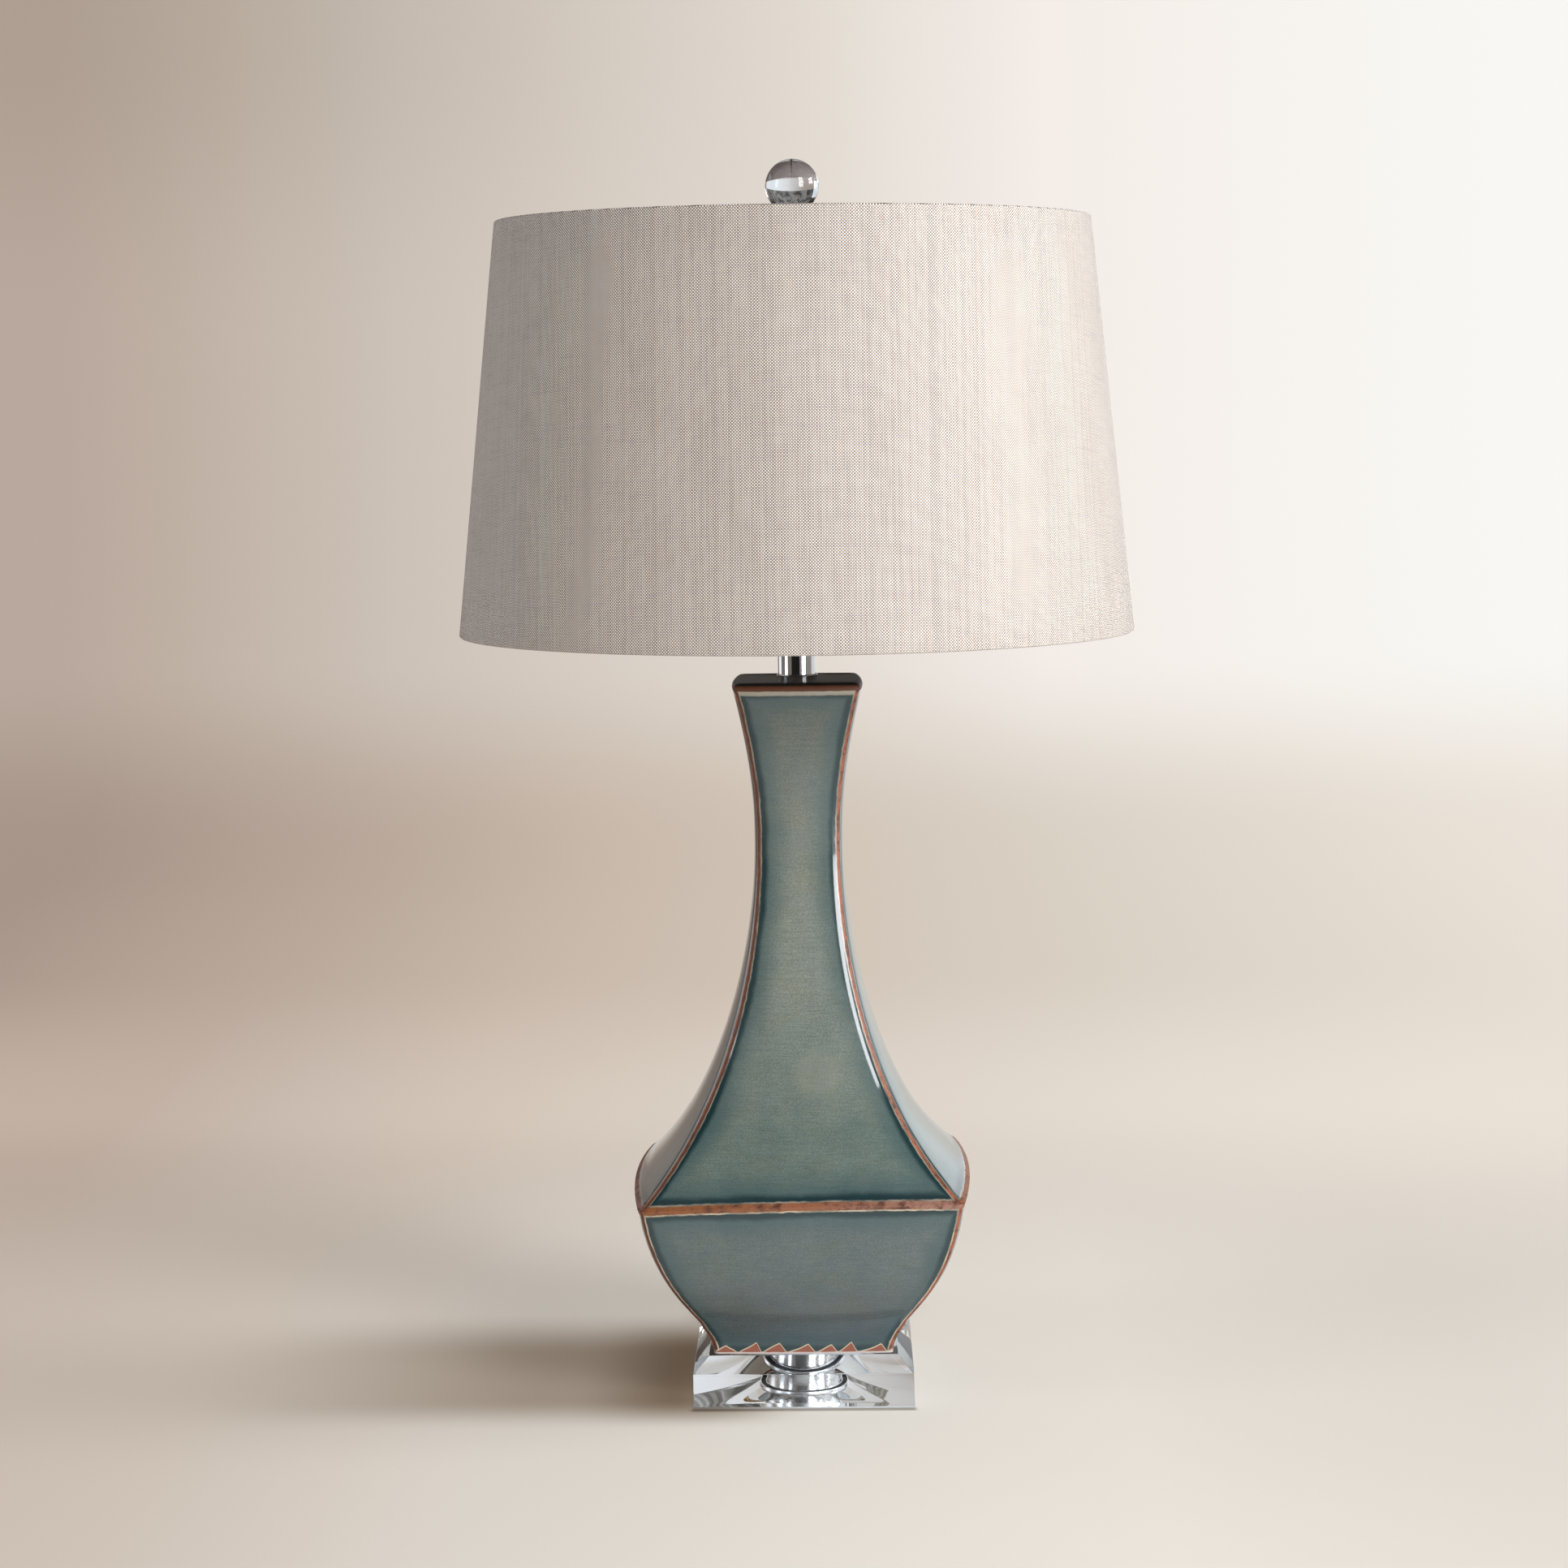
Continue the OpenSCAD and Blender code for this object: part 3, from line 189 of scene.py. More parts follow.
def paint(piece: Piece, *materials: Material) -> None:
    """Gives a piece its materials, in the order of its slots.

    Args:
        piece: The object to paint.
        *materials: One material for each slot.
    """
    piece.data.materials.clear()
    for material in materials:
        piece.data.materials.append(material)


def dress(material: Material, *nodes: str) -> None:
    """Gives carried-over nodes of the frame a better material.

    Args:
        material: Their material.
        *nodes: Names of the nodes.
    """
    for name in nodes:
        paint(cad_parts[name], material)
        LOG.info("%s: %s", name, material.name)


def mount(piece: Piece, body: str, slot: str, *replaced: str) -> None:
    """Puts a finished piece on its body in place of the nodes that it stands for.

    Args:
        piece: The finished object.
        body: Name of the body that it moves with.
        slot: Name of its slot in the record; not used.
        *replaced: Names of the nodes that it replaces.
    """
    settle(piece)
    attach(piece, body)
    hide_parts(*replaced)
    LOG.info("%s: %d faces, rides on %s", piece.name, len(piece.data.polygons), body)


# Materials


@dataclass(frozen=True)
class Signal:
    """A number, colour or vector on its way between the nodes of one finish, with sums in Python's own signs."""

    finish: "Finish"
    socket: bpy.types.NodeSocket

    def math(self, operation: str, *others: Value, **settings: object) -> "Signal":
        """Does one sum that takes this number first."""
        return self.finish.node("Math", self, *others, operation=operation, **settings)

    def __add__(self, other: Value) -> "Signal":
        """Adds a number."""
        return self.math("ADD", other)

    def __sub__(self, other: Value) -> "Signal":
        """Takes a number away."""
        return self.math("SUBTRACT", other)

    def __rsub__(self, other: float) -> "Signal":
        """Takes this away from a plain number."""
        return self.finish.node("Math", other, self, operation="SUBTRACT")

    def __mul__(self, other: Value) -> "Signal":
        """Multiplies by a number."""
        return self.math("MULTIPLY", other)

    def __truediv__(self, other: Value) -> "Signal":
        """Divides by a number."""
        return self.math("DIVIDE", other)

    def __abs__(self) -> "Signal":
        """Drops the sign."""
        return self.math("ABSOLUTE")

    def least(self, *others: "Signal") -> "Signal":
        """Gives the smallest of several numbers."""
        return reduce(lambda one, other: one.math("MINIMUM", other), others, self)

    def most(self, *others: "Signal") -> "Signal":
        """Gives the largest of several numbers."""
        return reduce(lambda one, other: one.math("MAXIMUM", other), others, self)

    def step(self, low: float, high: float, first: float = 0.0, last: float = 1.0) -> "Signal":
        """Maps the number smoothly from one range to another.

        Args:
            low: Where the ramp starts.
            high: Where it ends.
            first: Result at the start.
            last: Result at the end.

        Returns:
            The mapped number.
        """
        if low > high:
            low, high, first, last = high, low, last, first
        return self.finish.node("MapRange", self, low, high, first, last, interpolation_type="SMOOTHSTEP")


class Finish:
    """Lays out the nodes of one material round a single surface shader."""

    def __init__(self, name: str, **constants: Value) -> None:
        """Starts a material.

        Args:
            name: Name of the material.
            **constants: Values for the surface shader's sockets, by name with underscores.
        """
        self.material = bpy.data.materials.new(name)
        self.material.use_nodes = True
        self.tree = self.material.node_tree
        self.tree.nodes.clear()
        self.output = self.tree.nodes.new("ShaderNodeOutputMaterial")
        self.surface = self.tree.nodes.new("ShaderNodeBsdfPrincipled")
        self.tree.links.new(self.surface.outputs["BSDF"], self.output.inputs["Surface"])
        self.feed(**constants)

    def feed(self, **values: Value) -> None:
        """Sets or links sockets of the surface shader, by name with underscores."""
        for name, value in values.items():
            self.put(self.surface.inputs[name.replace("_", " ").title().replace("Ior", "IOR")], value)

    def put(self, socket: bpy.types.NodeSocket, value: Value) -> None:
        """Sets or links one input.

        Args:
            socket: The input.
            value: A signal, a number, a colour or a vector.
        """
        if isinstance(value, Signal):
            self.tree.links.new(value.socket, socket)
        elif isinstance(value, (int, float)):
            socket.default_value = value
        else:
            parts = tuple(value)
            socket.default_value = parts + (1.0,) if len(socket.default_value) > len(parts) else parts

    def node(self, kind: str, *values: Optional[Value], out: Union[int, str] = 0, **settings: object) -> Signal:
        """Adds one node.

        Args:
            kind: Name of the node's type after ShaderNode.
            *values: Values for its first inputs, in order; None leaves one as it is.
            out: The output to give, by place or name.
            **settings: Its settings.

        Returns:
            The output.
        """
        made = self.tree.nodes.new("ShaderNode" + kind)
        for key, value in settings.items():
            setattr(made, key, value)
        for socket, value in zip(made.inputs, values):
            if value is not None:
                self.put(socket, value)
        return Signal(self, made.outputs[out])

    def point(self, *stretch: float) -> Signal:
        """Reads the place on the object, in metres times the stretch along each axis, if there is one."""
        place = self.node("TexCoord", out="Object")
        return self.node("VectorMath", place, stretch, operation="MULTIPLY") if stretch else place

    def attribute(self, name: str) -> Signal:
        """Reads a number that the mesh carries at each point."""
        return self.node("Attribute", out="Fac", attribute_name=name)

    def split(self, vector: Signal) -> tuple[Signal, ...]:
        """Splits a vector into its three numbers."""
        return tuple(self.node("SeparateXYZ", vector, out=i) for i in range(3))

    def join(self, x: Value, y: Value, z: Value = 0.0) -> Signal:
        """Makes a vector of three numbers."""
        return self.node("CombineXYZ", x, y, z)

    def noise(self, vector: Signal, scale: float, detail: float = 3.0, rough: float = 0.55) -> Signal:
        """Adds soft noise about 0.5, with so many cells in a metre and finer layers of some strength."""
        return self.node("TexNoise", vector, None, scale, detail, rough)

    def chance(self, vector: Signal) -> Signal:
        """Gives each whole-numbered cell its own number from 0 to 1."""
        return self.node("TexWhiteNoise", vector, noise_dimensions="3D")

    def ramp(self, value: Signal, *stops: tuple[float, Rgb]) -> Signal:
        """Turns a number into a colour.

        Args:
            value: The number, from 0 to 1.
            *stops: Places and their colours.

        Returns:
            The colour.
        """
        made = self.node("ValToRGB", value)
        marks = made.socket.node.color_ramp.elements
        while len(marks) < len(stops):
            marks.new(0.5)
        for mark, (place, color) in zip(marks, stops):
            mark.position = place
            mark.color = tuple(color) + (1.0,)
        return made

    def mix(self, share: Value, a: Value, b: Value, blend: str = "MIX") -> Signal:
        """Mixes two colours by the share of the second, in a way that Blender has a name for."""
        return self.node("Mix", share, *[None] * 5, a, b, out=2, data_type="RGBA", blend_type=blend)

    def coats(self, color: Value, *coats: tuple) -> Signal:
        """Lays coats over a colour, one after another.

        Args:
            color: The colour to start from.
            *coats: A share and a colour each, and a way to mix where it is not the plain one.

        Returns:
            The colour with all its coats.
        """
        for share, *coat in coats:
            color = self.mix(share, color, *coat)
        return color

    def relief(self, height: Signal, depth: float, strength: float = 1.0) -> None:
        """Raises the surface in the light by a height from 0 to 1, of which 1 stands for a depth in metres."""
        self.feed(normal=self.node("Bump", strength, depth, None, height))


def level(value: float) -> float:
    """Turns a display value from 0 to 255 into a linear one."""
    share = value / 255
    return share / 12.92 if share < 0.04045 else ((share + 0.055) / 1.055) ** 2.4


def tone(red: float, green: float, blue: float) -> Rgb:
    """Turns a display colour, each part from 0 to 255, into a linear one."""
    return level(red), level(green), level(blue)


def tones(*stops: tuple[float, ...]) -> list[tuple[float, Rgb]]:
    """Turns places with display colours behind them into the stops of a ramp."""
    return [(place, tone(*color)) for place, *color in stops]


@dataclass(frozen=True)
class Metal:
    """A metal with polishing marks and a little tarnish."""

    name: str
    color: Rgb
    worn: Rgb
    roughness: float
    lay: Lay = Lay.CAST
    marks: float = 0.00002

    def make(self) -> Material:
        """Builds the material."""
        finish = Finish(self.name, metallic=1.0)
        fine = finish.noise(finish.point(*self.lay.value), 1.0, 2)
        patch = finish.noise(finish.point(), 55, 4)
        finish.feed(base_color=finish.mix(patch.step(0.42, 0.75), self.color, self.worn),
                    roughness=(fine * 0.6 + patch * 0.4).step(0.2, 0.8, self.roughness * 0.6, self.roughness * 1.5))
        finish.relief(fine, self.marks, 0.5)
        return finish.material


@dataclass(frozen=True)
class Plastic:
    """A moulded plastic, rubber or lacquer with a fine texture."""

    name: str
    color: Rgb
    shade: Rgb
    roughness: float
    grain: float = 2500
    depth: float = 0.00003
    coat: float = 0.0
    coat_roughness: float = 0.08

    def make(self) -> Material:
        """Builds the material."""
        finish = Finish(self.name, ior=1.5, coat_weight=self.coat, coat_roughness=self.coat_roughness)
        patch = finish.noise(finish.point(), 40, 3)
        finish.feed(base_color=finish.mix(patch, self.color, self.shade),
                    roughness=patch.step(0.3, 0.7, self.roughness * 0.85, self.roughness * 1.15))
        finish.relief(finish.noise(finish.point(), self.grain, 2), self.depth)
        return finish.material


@dataclass(frozen=True)
class Clear:
    """A clear solid, with a faint film of wear on its faces."""

    name: str
    color: Rgb
    ior: float
    roughness: float
    film: float = 0.03
    waves: float = 0.00001

    def make(self) -> Material:
        """Builds the material."""
        finish = Finish(self.name, transmission_weight=1.0, ior=self.ior, base_color=self.color)
        highlight_haze = finish.noise(finish.point(), 90, 5, 0.65)
        finish.feed(roughness=highlight_haze.step(0.45, 0.85, self.roughness, self.roughness + self.film))
        finish.relief(finish.noise(finish.point(), 30, 1), self.waves)
        return finish.material


@dataclass(frozen=True)
class Mottle:
    """A plain surface in two shades that drift into each other."""

    name: str
    dark: Rgb
    light: Rgb
    cells: float
    detail: float

    def start(self, **constants: Value) -> Finish:
        """Starts the finish with its colour and the shader's other constants."""
        finish = Finish(self.name, **constants)
        drift = finish.noise(finish.point(), self.cells, self.detail)
        finish.feed(base_color=finish.ramp(drift, (0.3, self.dark), (0.7, self.light)))
        return finish


@dataclass(frozen=True)
class Glaze:
    """Pooled sage and teal glaze over a red clay body that shows at the ridges."""

    name: str = "celadon_glaze"
    waist: Rgb = tone(113, 122, 115)
    sage: Rgb = tone(149, 157, 149)
    moss: Rgb = tone(122, 137, 130)
    mist: Rgb = tone(112, 125, 125)
    slate: Rgb = tone(88, 97, 103)
    veil: Rgb = tone(60, 86, 90)
    pool: Rgb = tone(28, 52, 56)
    night: Rgb = tone(10, 18, 16)
    clay: Rgb = tone(150, 96, 68)
    red_clay: Rgb = tone(150, 74, 58)
    lip_clay: Rgb = tone(98, 56, 36)
    rust: Rgb = tone(92, 56, 42)
    soot: Rgb = tone(48, 36, 30)
    sand: Rgb = tone(204, 188, 164)
    # Painted highlight: a soft round patch of lighter colour at a point on the vase's front face.
    highlight_haze: Rgb = tone(146, 148, 136)
    highlight_haze_at: tuple[float, float, float] = (0.01, -0.056, 0.207)
    bisque: Rgb = tone(214, 200, 194)
    corners: tuple[Rgb, Rgb] = (tone(98, 58, 44), tone(164, 96, 70))
    upper_h: float = 310.0
    lower_h: float = 110.0
    bare_reach: float = 1.5
    foot_reach: float = 1.3
    gloss: float = 0.14
    dull: float = 0.45
    swell: float = 0.0005
    teeth_pitch: float = 15.2
    teeth_height: float = 3.6

    def make(self) -> Material:
        """Builds the material from the distances in millimetres that the vase's mesh carries."""
        finish = Finish(self.name, ior=1.5, coat_roughness=0.04, coat_ior=1.4)
        noise, place = finish.noise, finish.point()
        jitter = (noise(place, 170, 3, 0.6) - 0.5) * 1.5
        slow = noise(place, 24, 2, 0.5) - 0.5
        edge = finish.attribute("edge") + (jitter - 0.85)
        rise = finish.attribute("rise")
        line = abs(rise) + jitter - 1.05
        mouth = finish.attribute("mouth") + jitter * 0.7
        foot = finish.attribute("foot") + jitter * 0.4
        rim = edge.least(line, mouth)

        color = self.pooled(finish, rise, slow, rim.least(foot))
        broken = noise(place, 60, 3, 0.6).step(0.36, 0.6, 0.4, 1.0) * rise.step(0.0, -1.0, 0.5, 1.0)
        across = finish.attribute("across")
        along = finish.ramp(across.step(-95, 95), *tones((0.0, 146, 90, 54), (0.3, 150, 95, 64)), (0.55, self.clay),
                            *tones((1.0, 160, 118, 102)))
        corner = finish.mix(across.step(-4, 4), *self.corners)
        bare_clay = finish.mix((line - edge).step(-0.3, 0.3), along, corner)
        burnt = finish.coats(self.rust, (noise(place, 110, 4, 0.7).step(0.34, 0.56), bare_clay),
                             (noise(place, 800, 2, 0.7).step(0.55, 0.75, 0.0, 0.55), self.soot),
                             (mouth.step(3.0, 1.6), self.lip_clay))
        inside = mouth.step(-1.4, -3.0)
        teeth, border = self.teeth(finish, foot)
        color = finish.coats(
            color, (rim.step(2.45, 1.8) * broken, self.sand),
            (mouth.step(4.6, 3.2, 0.0, 0.85), finish.mix(0.5, self.sand, self.sage)),
            (rim.step(self.bare_reach, 1.0), burnt), (inside, self.night), (border, self.sand),
            (teeth, finish.mix(0.5, self.clay, self.red_clay)), (foot.step(self.foot_reach, 0.8), self.bisque))

        bare = rim.step(self.bare_reach, 0.9).most(foot.step(self.foot_reach, 0.8))
        matt = bare.most(inside)
        finish.feed(base_color=color, roughness=matt.step(0.0, 1.0, self.gloss, self.dull),
                    coat_weight=matt.step(0.0, 1.0, 1.0, 0.0))
        finish.relief(noise(place, 34, 2) * 0.8 + noise(place, 1400, 3, 0.7) * bare * 0.12, self.swell, 0.6)
        return finish.material

    def pooled(self, finish: Finish, rise: Signal, slow: Signal, near: Signal) -> Signal:
        """Colours the glaze, streaked and clouded, darker where it pools beside the bare clay, with a painted
        highlight on its front face.

        Args:
            finish: The finish that is being laid out.
            rise: Height above the shoulder line, in millimetres.
            slow: Slow noise about 0.
            near: Distance from the nearest bare clay, in millimetres.

        Returns:
            The colour.
        """
        noise, place = finish.noise, finish.point()
        lean = rise + slow * 24.0
        upper = finish.ramp(lean / self.upper_h, (0.0, self.moss), (0.14, self.moss), (0.4, self.sage),
                            (0.62, self.sage), (0.92, self.waist))
        streak = noise(finish.point(5.0, 5.0, 46.0), 1.0, 3, 0.6)
        lower = finish.ramp((lean - streak * 26.0) / -self.lower_h, (0.1, self.mist), (0.5, self.mist),
                            (0.95, self.slate))
        drip = noise(finish.point(55.0, 55.0, 9.0), 1.0, 3, 0.6)
        thrown = noise(finish.point(70.0, 70.0, 1500.0), 1.0, 3, 0.7)
        highlight_distance = finish.node("VectorMath", place, self.highlight_haze_at, operation="DISTANCE", out="Value")
        return finish.coats(
            lower, (rise.step(-1.0, 1.0), upper), (drip.step(0.35, 0.7, 0.0, 0.16), self.veil),
            (noise(place, 15, 2).step(0.6, 0.72, 0.0, 0.3), self.sand, "SOFT_LIGHT"),
            (thrown.step(0.3, 0.7, 0.0, 0.2), self.veil, "MULTIPLY"),
            (noise(place, 1700, 2, 0.8).step(0.35, 0.65, 0.0, 0.44), self.veil, "MULTIPLY"),
            # Painted highlight, lighter within about 19 mm of its point.
            (highlight_distance.step(0.019, 0.009, 0.0, 0.32), self.highlight_haze),
            (noise(place, 60, 5, 0.75).step(0.4, 0.65, 0.0, 0.3), self.sand, "SOFT_LIGHT"),
            ((near + slow * 14.0).step(22.0, 4.0, 0.0, 0.66), self.veil),
            ((near + slow * 5.0).step(7.4, 3.6, 0.0, 0.96), self.pool))

    def teeth(self, finish: Finish, foot: Signal) -> tuple[Signal, Signal]:
        """Draws the row of bare slanted teeth that the glaze leaves along the foot.

        Args:
            finish: The finish that is being laid out.
            foot: Distance above the foot, in millimetres.

        Returns:
            The share of bare clay and the share of its pale border.
        """
        across = finish.attribute("across")
        moved = across + finish.noise(finish.join(across, 4.0, 2.0), 0.05, 1) * 14.0
        place = (moved + 200.0) / self.teeth_pitch
        part = place.math("FRACT")
        crest = finish.chance(finish.join(place.math("FLOOR"), 3.0, 7.0)) * 3.2 + self.teeth_height
        climb = (part - 0.05).math("DIVIDE", 0.62, use_clamp=True)
        fall = (0.95 - part).math("DIVIDE", 0.24, use_clamp=True)
        over = climb.least(fall) * crest + 0.8 - foot
        return over.step(0.1, 0.5), over.step(-0.9, -0.3)


@dataclass(frozen=True)
class Twill:
    """The shade's cloth: pale weft and tan, slubbed warp in a fine weave with painted shade between the yarns, drawn
    on its own map in metres.
    """

    name: str = "slub_weave"
    pitch: float = 0.00088
    depth: float = 0.00016
    tan: Rgb = tone(144, 118, 92)
    straw: Rgb = tone(184, 162, 138)
    amber: Rgb = tone(190, 142, 94)
    lilac: Rgb = tone(238, 236, 244)
    milk: Rgb = tone(252, 251, 249)
    # Painted shade that fills the hollows between the yarns.
    yarn_gap_shade: Rgb = tone(84, 69, 57)

    def make(self) -> Material:
        """Builds the material."""
        finish = Finish(self.name, ior=1.65, sheen_weight=0.15, sheen_roughness=0.4)
        noise, join, mix = finish.noise, finish.join, finish.mix
        u, v, _ = finish.split(finish.node("TexCoord", out="UV"))
        warp, weft = u / self.pitch, v / self.pitch
        warp_cell, weft_cell = warp.math("FLOOR"), weft.math("FLOOR")
        slub_warp = noise(join(warp_cell * 5.1731, v), 55, 2, 0.6)
        slub_weft = noise(join(u, weft_cell * 3.7183, 9.0), 40, 2, 0.6)
        warp_own = finish.chance(join(warp_cell, 1.0, 0.0))
        weft_own = finish.chance(join(weft_cell, 2.0, 0.0))
        warp_color = finish.coats(self.tan, ((slub_warp + warp_own * 0.45).step(0.5, 0.85), self.straw),
                                  (warp_own.step(0.82, 0.88) * slub_warp.step(0.48, 0.58), self.amber))
        weft_color = mix((slub_weft + weft_own * 0.12).step(0.5, 0.85), self.milk, self.lilac)
        yarn = mix((warp_cell + weft_cell).math("PINGPONG", 1.0), warp_color, weft_color)
        warp_arch, weft_arch = ((way.math("FRACT") * math.pi).math("SINE") for way in (warp, weft))
        hill = warp_arch * weft_arch
        yarn = mix(noise(join(u * 3.0, v), 14, 3, 0.6).step(0.42, 0.68, 0.0, 0.07), yarn, self.tan, "MULTIPLY")
        finish.feed(base_color=mix(hill.step(0.0, 0.4), self.yarn_gap_shade, yarn), roughness=slub_weft.step(0.3, 0.7, 0.36, 0.5))
        finish.relief(hill + (slub_warp * 0.4 + slub_weft * 0.4), self.depth, 0.7)
        return finish.material


@dataclass(frozen=True)
class TwinLead:
    """Clear vinyl over two stranded leads, one the colour of gold and one of silver."""

    name: str = "clear_twin_lead"
    gold: Rgb = tone(200, 160, 96)
    silver: Rgb = tone(196, 194, 188)
    skin: Rgb = tone(214, 208, 190)
    # Painted shade in the grooves between the strands.
    strand_groove_shade: Rgb = (0.05, 0.04, 0.03)
    strand: float = 0.0011
    strands: float = 14.0
    depth: float = 0.00008

    def make(self) -> Material:
        """Builds the material on the cord's own map: once round in u, metres along in v."""
        finish = Finish(self.name, ior=1.5, coat_weight=1.0, coat_roughness=0.12)
        u, v, _ = finish.split(finish.node("TexCoord", out="UV"))
        side = (u * (2 * math.pi)).math("SINE")
        wire = ((u * self.strands + v / (self.strand * 4)) * (2 * math.pi)).math("SINE")
        web = abs(side)
        metal = finish.mix(side.step(-0.12, 0.12), self.silver, self.gold)
        color = finish.coats(metal, (wire.step(-0.6, 0.6, 0.0, 0.55), self.strand_groove_shade, "MULTIPLY"),
                             (web.step(0.3, 0.12), self.skin))
        finish.feed(base_color=color, metallic=web.step(0.15, 0.4, 0.0, 0.65),
                    roughness=finish.noise(finish.point(), 300).step(0.3, 0.7, 0.25, 0.4))
        finish.relief(wire.step(-1, 1), self.depth, 0.5)
        return finish.material


@dataclass(frozen=True)
class RoomPaint:
    """The room's paint, seen at its own colour by the camera and lit by the lamps near the object, with the lamp's
    shadow painted onto the floor round its base.
    """

    name: str = "room_paint"
    wall: Stops = (
        (0.03, 187, 170, 159), (0.1, 196, 182, 170), (0.2, 206, 195, 185), (0.52, 228, 220, 211),
        (0.71, 245, 238, 233), (0.85, 247, 243, 238), (1.0, 250, 249, 246))
    far: Stops = (
        (0.05, 170, 151, 139), (0.13, 180, 162, 149), (0.23, 190, 173, 159), (0.36, 202, 186, 171),
        (0.7, 219, 210, 198), (0.87, 229, 220, 209), (1.0, 238, 230, 220))
    middle: Stops = (
        (0.2, 197, 179, 165), (0.27, 203, 189, 178), (0.34, 211, 197, 184), (0.43, 217, 205, 193),
        (0.64, 227, 218, 208), (0.72, 232, 223, 212), (0.85, 235, 226, 216))
    near: Stops = (
        (0.0, 224, 210, 197), (0.07, 227, 214, 201), (0.25, 238, 230, 220), (0.5, 242, 236, 227),
        (0.74, 243, 236, 227), (0.95, 230, 223, 215))
    high_wall: Rgb = tone(240, 240, 238)
    # Painted shadow and shade: the floor left of the base, under the block, and a thin contact line along its front
    # edge.
    shadow: Rgb = (0.56, 0.5, 0.44)
    deep_shadow: Rgb = (0.52, 0.45, 0.38)
    painted_shade_under_block: Rgb = (0.72, 0.77, 0.83)
    contact_shadow_line: Rgb = (0.5, 0.47, 0.44)
    mirrored_tint: Rgb = (0.88, 0.94, 1.0)

    def make(self) -> Material:
        """Builds the material."""
        finish = Finish(self.name)
        x, y, z = finish.split(finish.point())
        across = x.step(-1.35, 1.25)
        far, middle, wall = (finish.ramp(across, *tones(*stops)) for stops in (self.far, self.middle, self.wall))
        wall = finish.mix(z.step(0.7, 1.15) * x.step(0.2, -1.0), wall, self.high_wall, "MULTIPLY")
        near = finish.ramp(x.step(-0.6, 0.6), *tones(*self.near))
        shadow_band = y.step(-0.11, -0.045) * y.step(0.16, 0.06)
        front = y.step(-0.0735, -0.0715) * y.step(-0.066, -0.068) * abs(x).step(0.071, 0.067)
        camera, glossy, through = (finish.node("LightPath", out=name)
                                   for name in ("Is Camera Ray", "Is Glossy Ray", "Is Transmission Ray"))
        color = finish.coats(
            near, (y.step(0.2, 0.7), middle), (y.step(0.8, 1.6), far), (z.step(0.02, 0.26), wall),
            # Painted shadow left of the base, painted shade under the block and a painted contact shadow along its
            # front edge.
            (x.step(-0.42, -0.14) * x.step(0.02, -0.06) * shadow_band, self.shadow, "MULTIPLY"),
            (x.step(-0.15, -0.074) * x.step(0.0, -0.066) * shadow_band, self.deep_shadow, "MULTIPLY"),
            (abs(x).step(0.0695, 0.0675) * abs(y).step(0.0695, 0.0675), self.painted_shade_under_block, "MULTIPLY"),
            (front, self.contact_shadow_line, "MULTIPLY"), (glossy.most(through), self.mirrored_tint, "MULTIPLY"))
        seen = camera.most(glossy * x.step(-0.9, -0.1, 0.3, 1.0), through)
        both = finish.node("MixShader", seen * y.step(0.2, 0.85, 0.22, 0.95), finish.node("BsdfDiffuse", color),
                           finish.node("Emission", color))
        finish.put(finish.output.inputs["Surface"], both)
        finish.tree.nodes.remove(finish.surface)
        return finish.material


# Sub-assemblies


def cubic(curve: Sequence[Sequence[float]], t: float) -> tuple[float, float]:
    """Places a point on a cubic curve.

    Args:
        curve: Its four control points, each of half width and height.
        t: Place on it, from 0 to 1.

    Returns:
        Half width and height.
    """
    weights = ((1 - t) ** 3, 3 * t * (1 - t) ** 2, 3 * t * t * (1 - t), t ** 3)
    return tuple(sum(w * c[i] for w, c in zip(weights, curve)) for i in (0, 1))


def runs(points: Sequence[Sequence[float]]) -> list[float]:
    """Gives the length of a line up to each of its points."""
    return list(accumulate((math.dist(a, b) for a, b in zip(points, points[1:])), initial=0.0))


def ease(share: float) -> float:
    """Eases a share at both of its ends, and keeps it between 0 and 1."""
    share = min(1.0, max(0.0, share))
    return share * share * (3 - 2 * share)


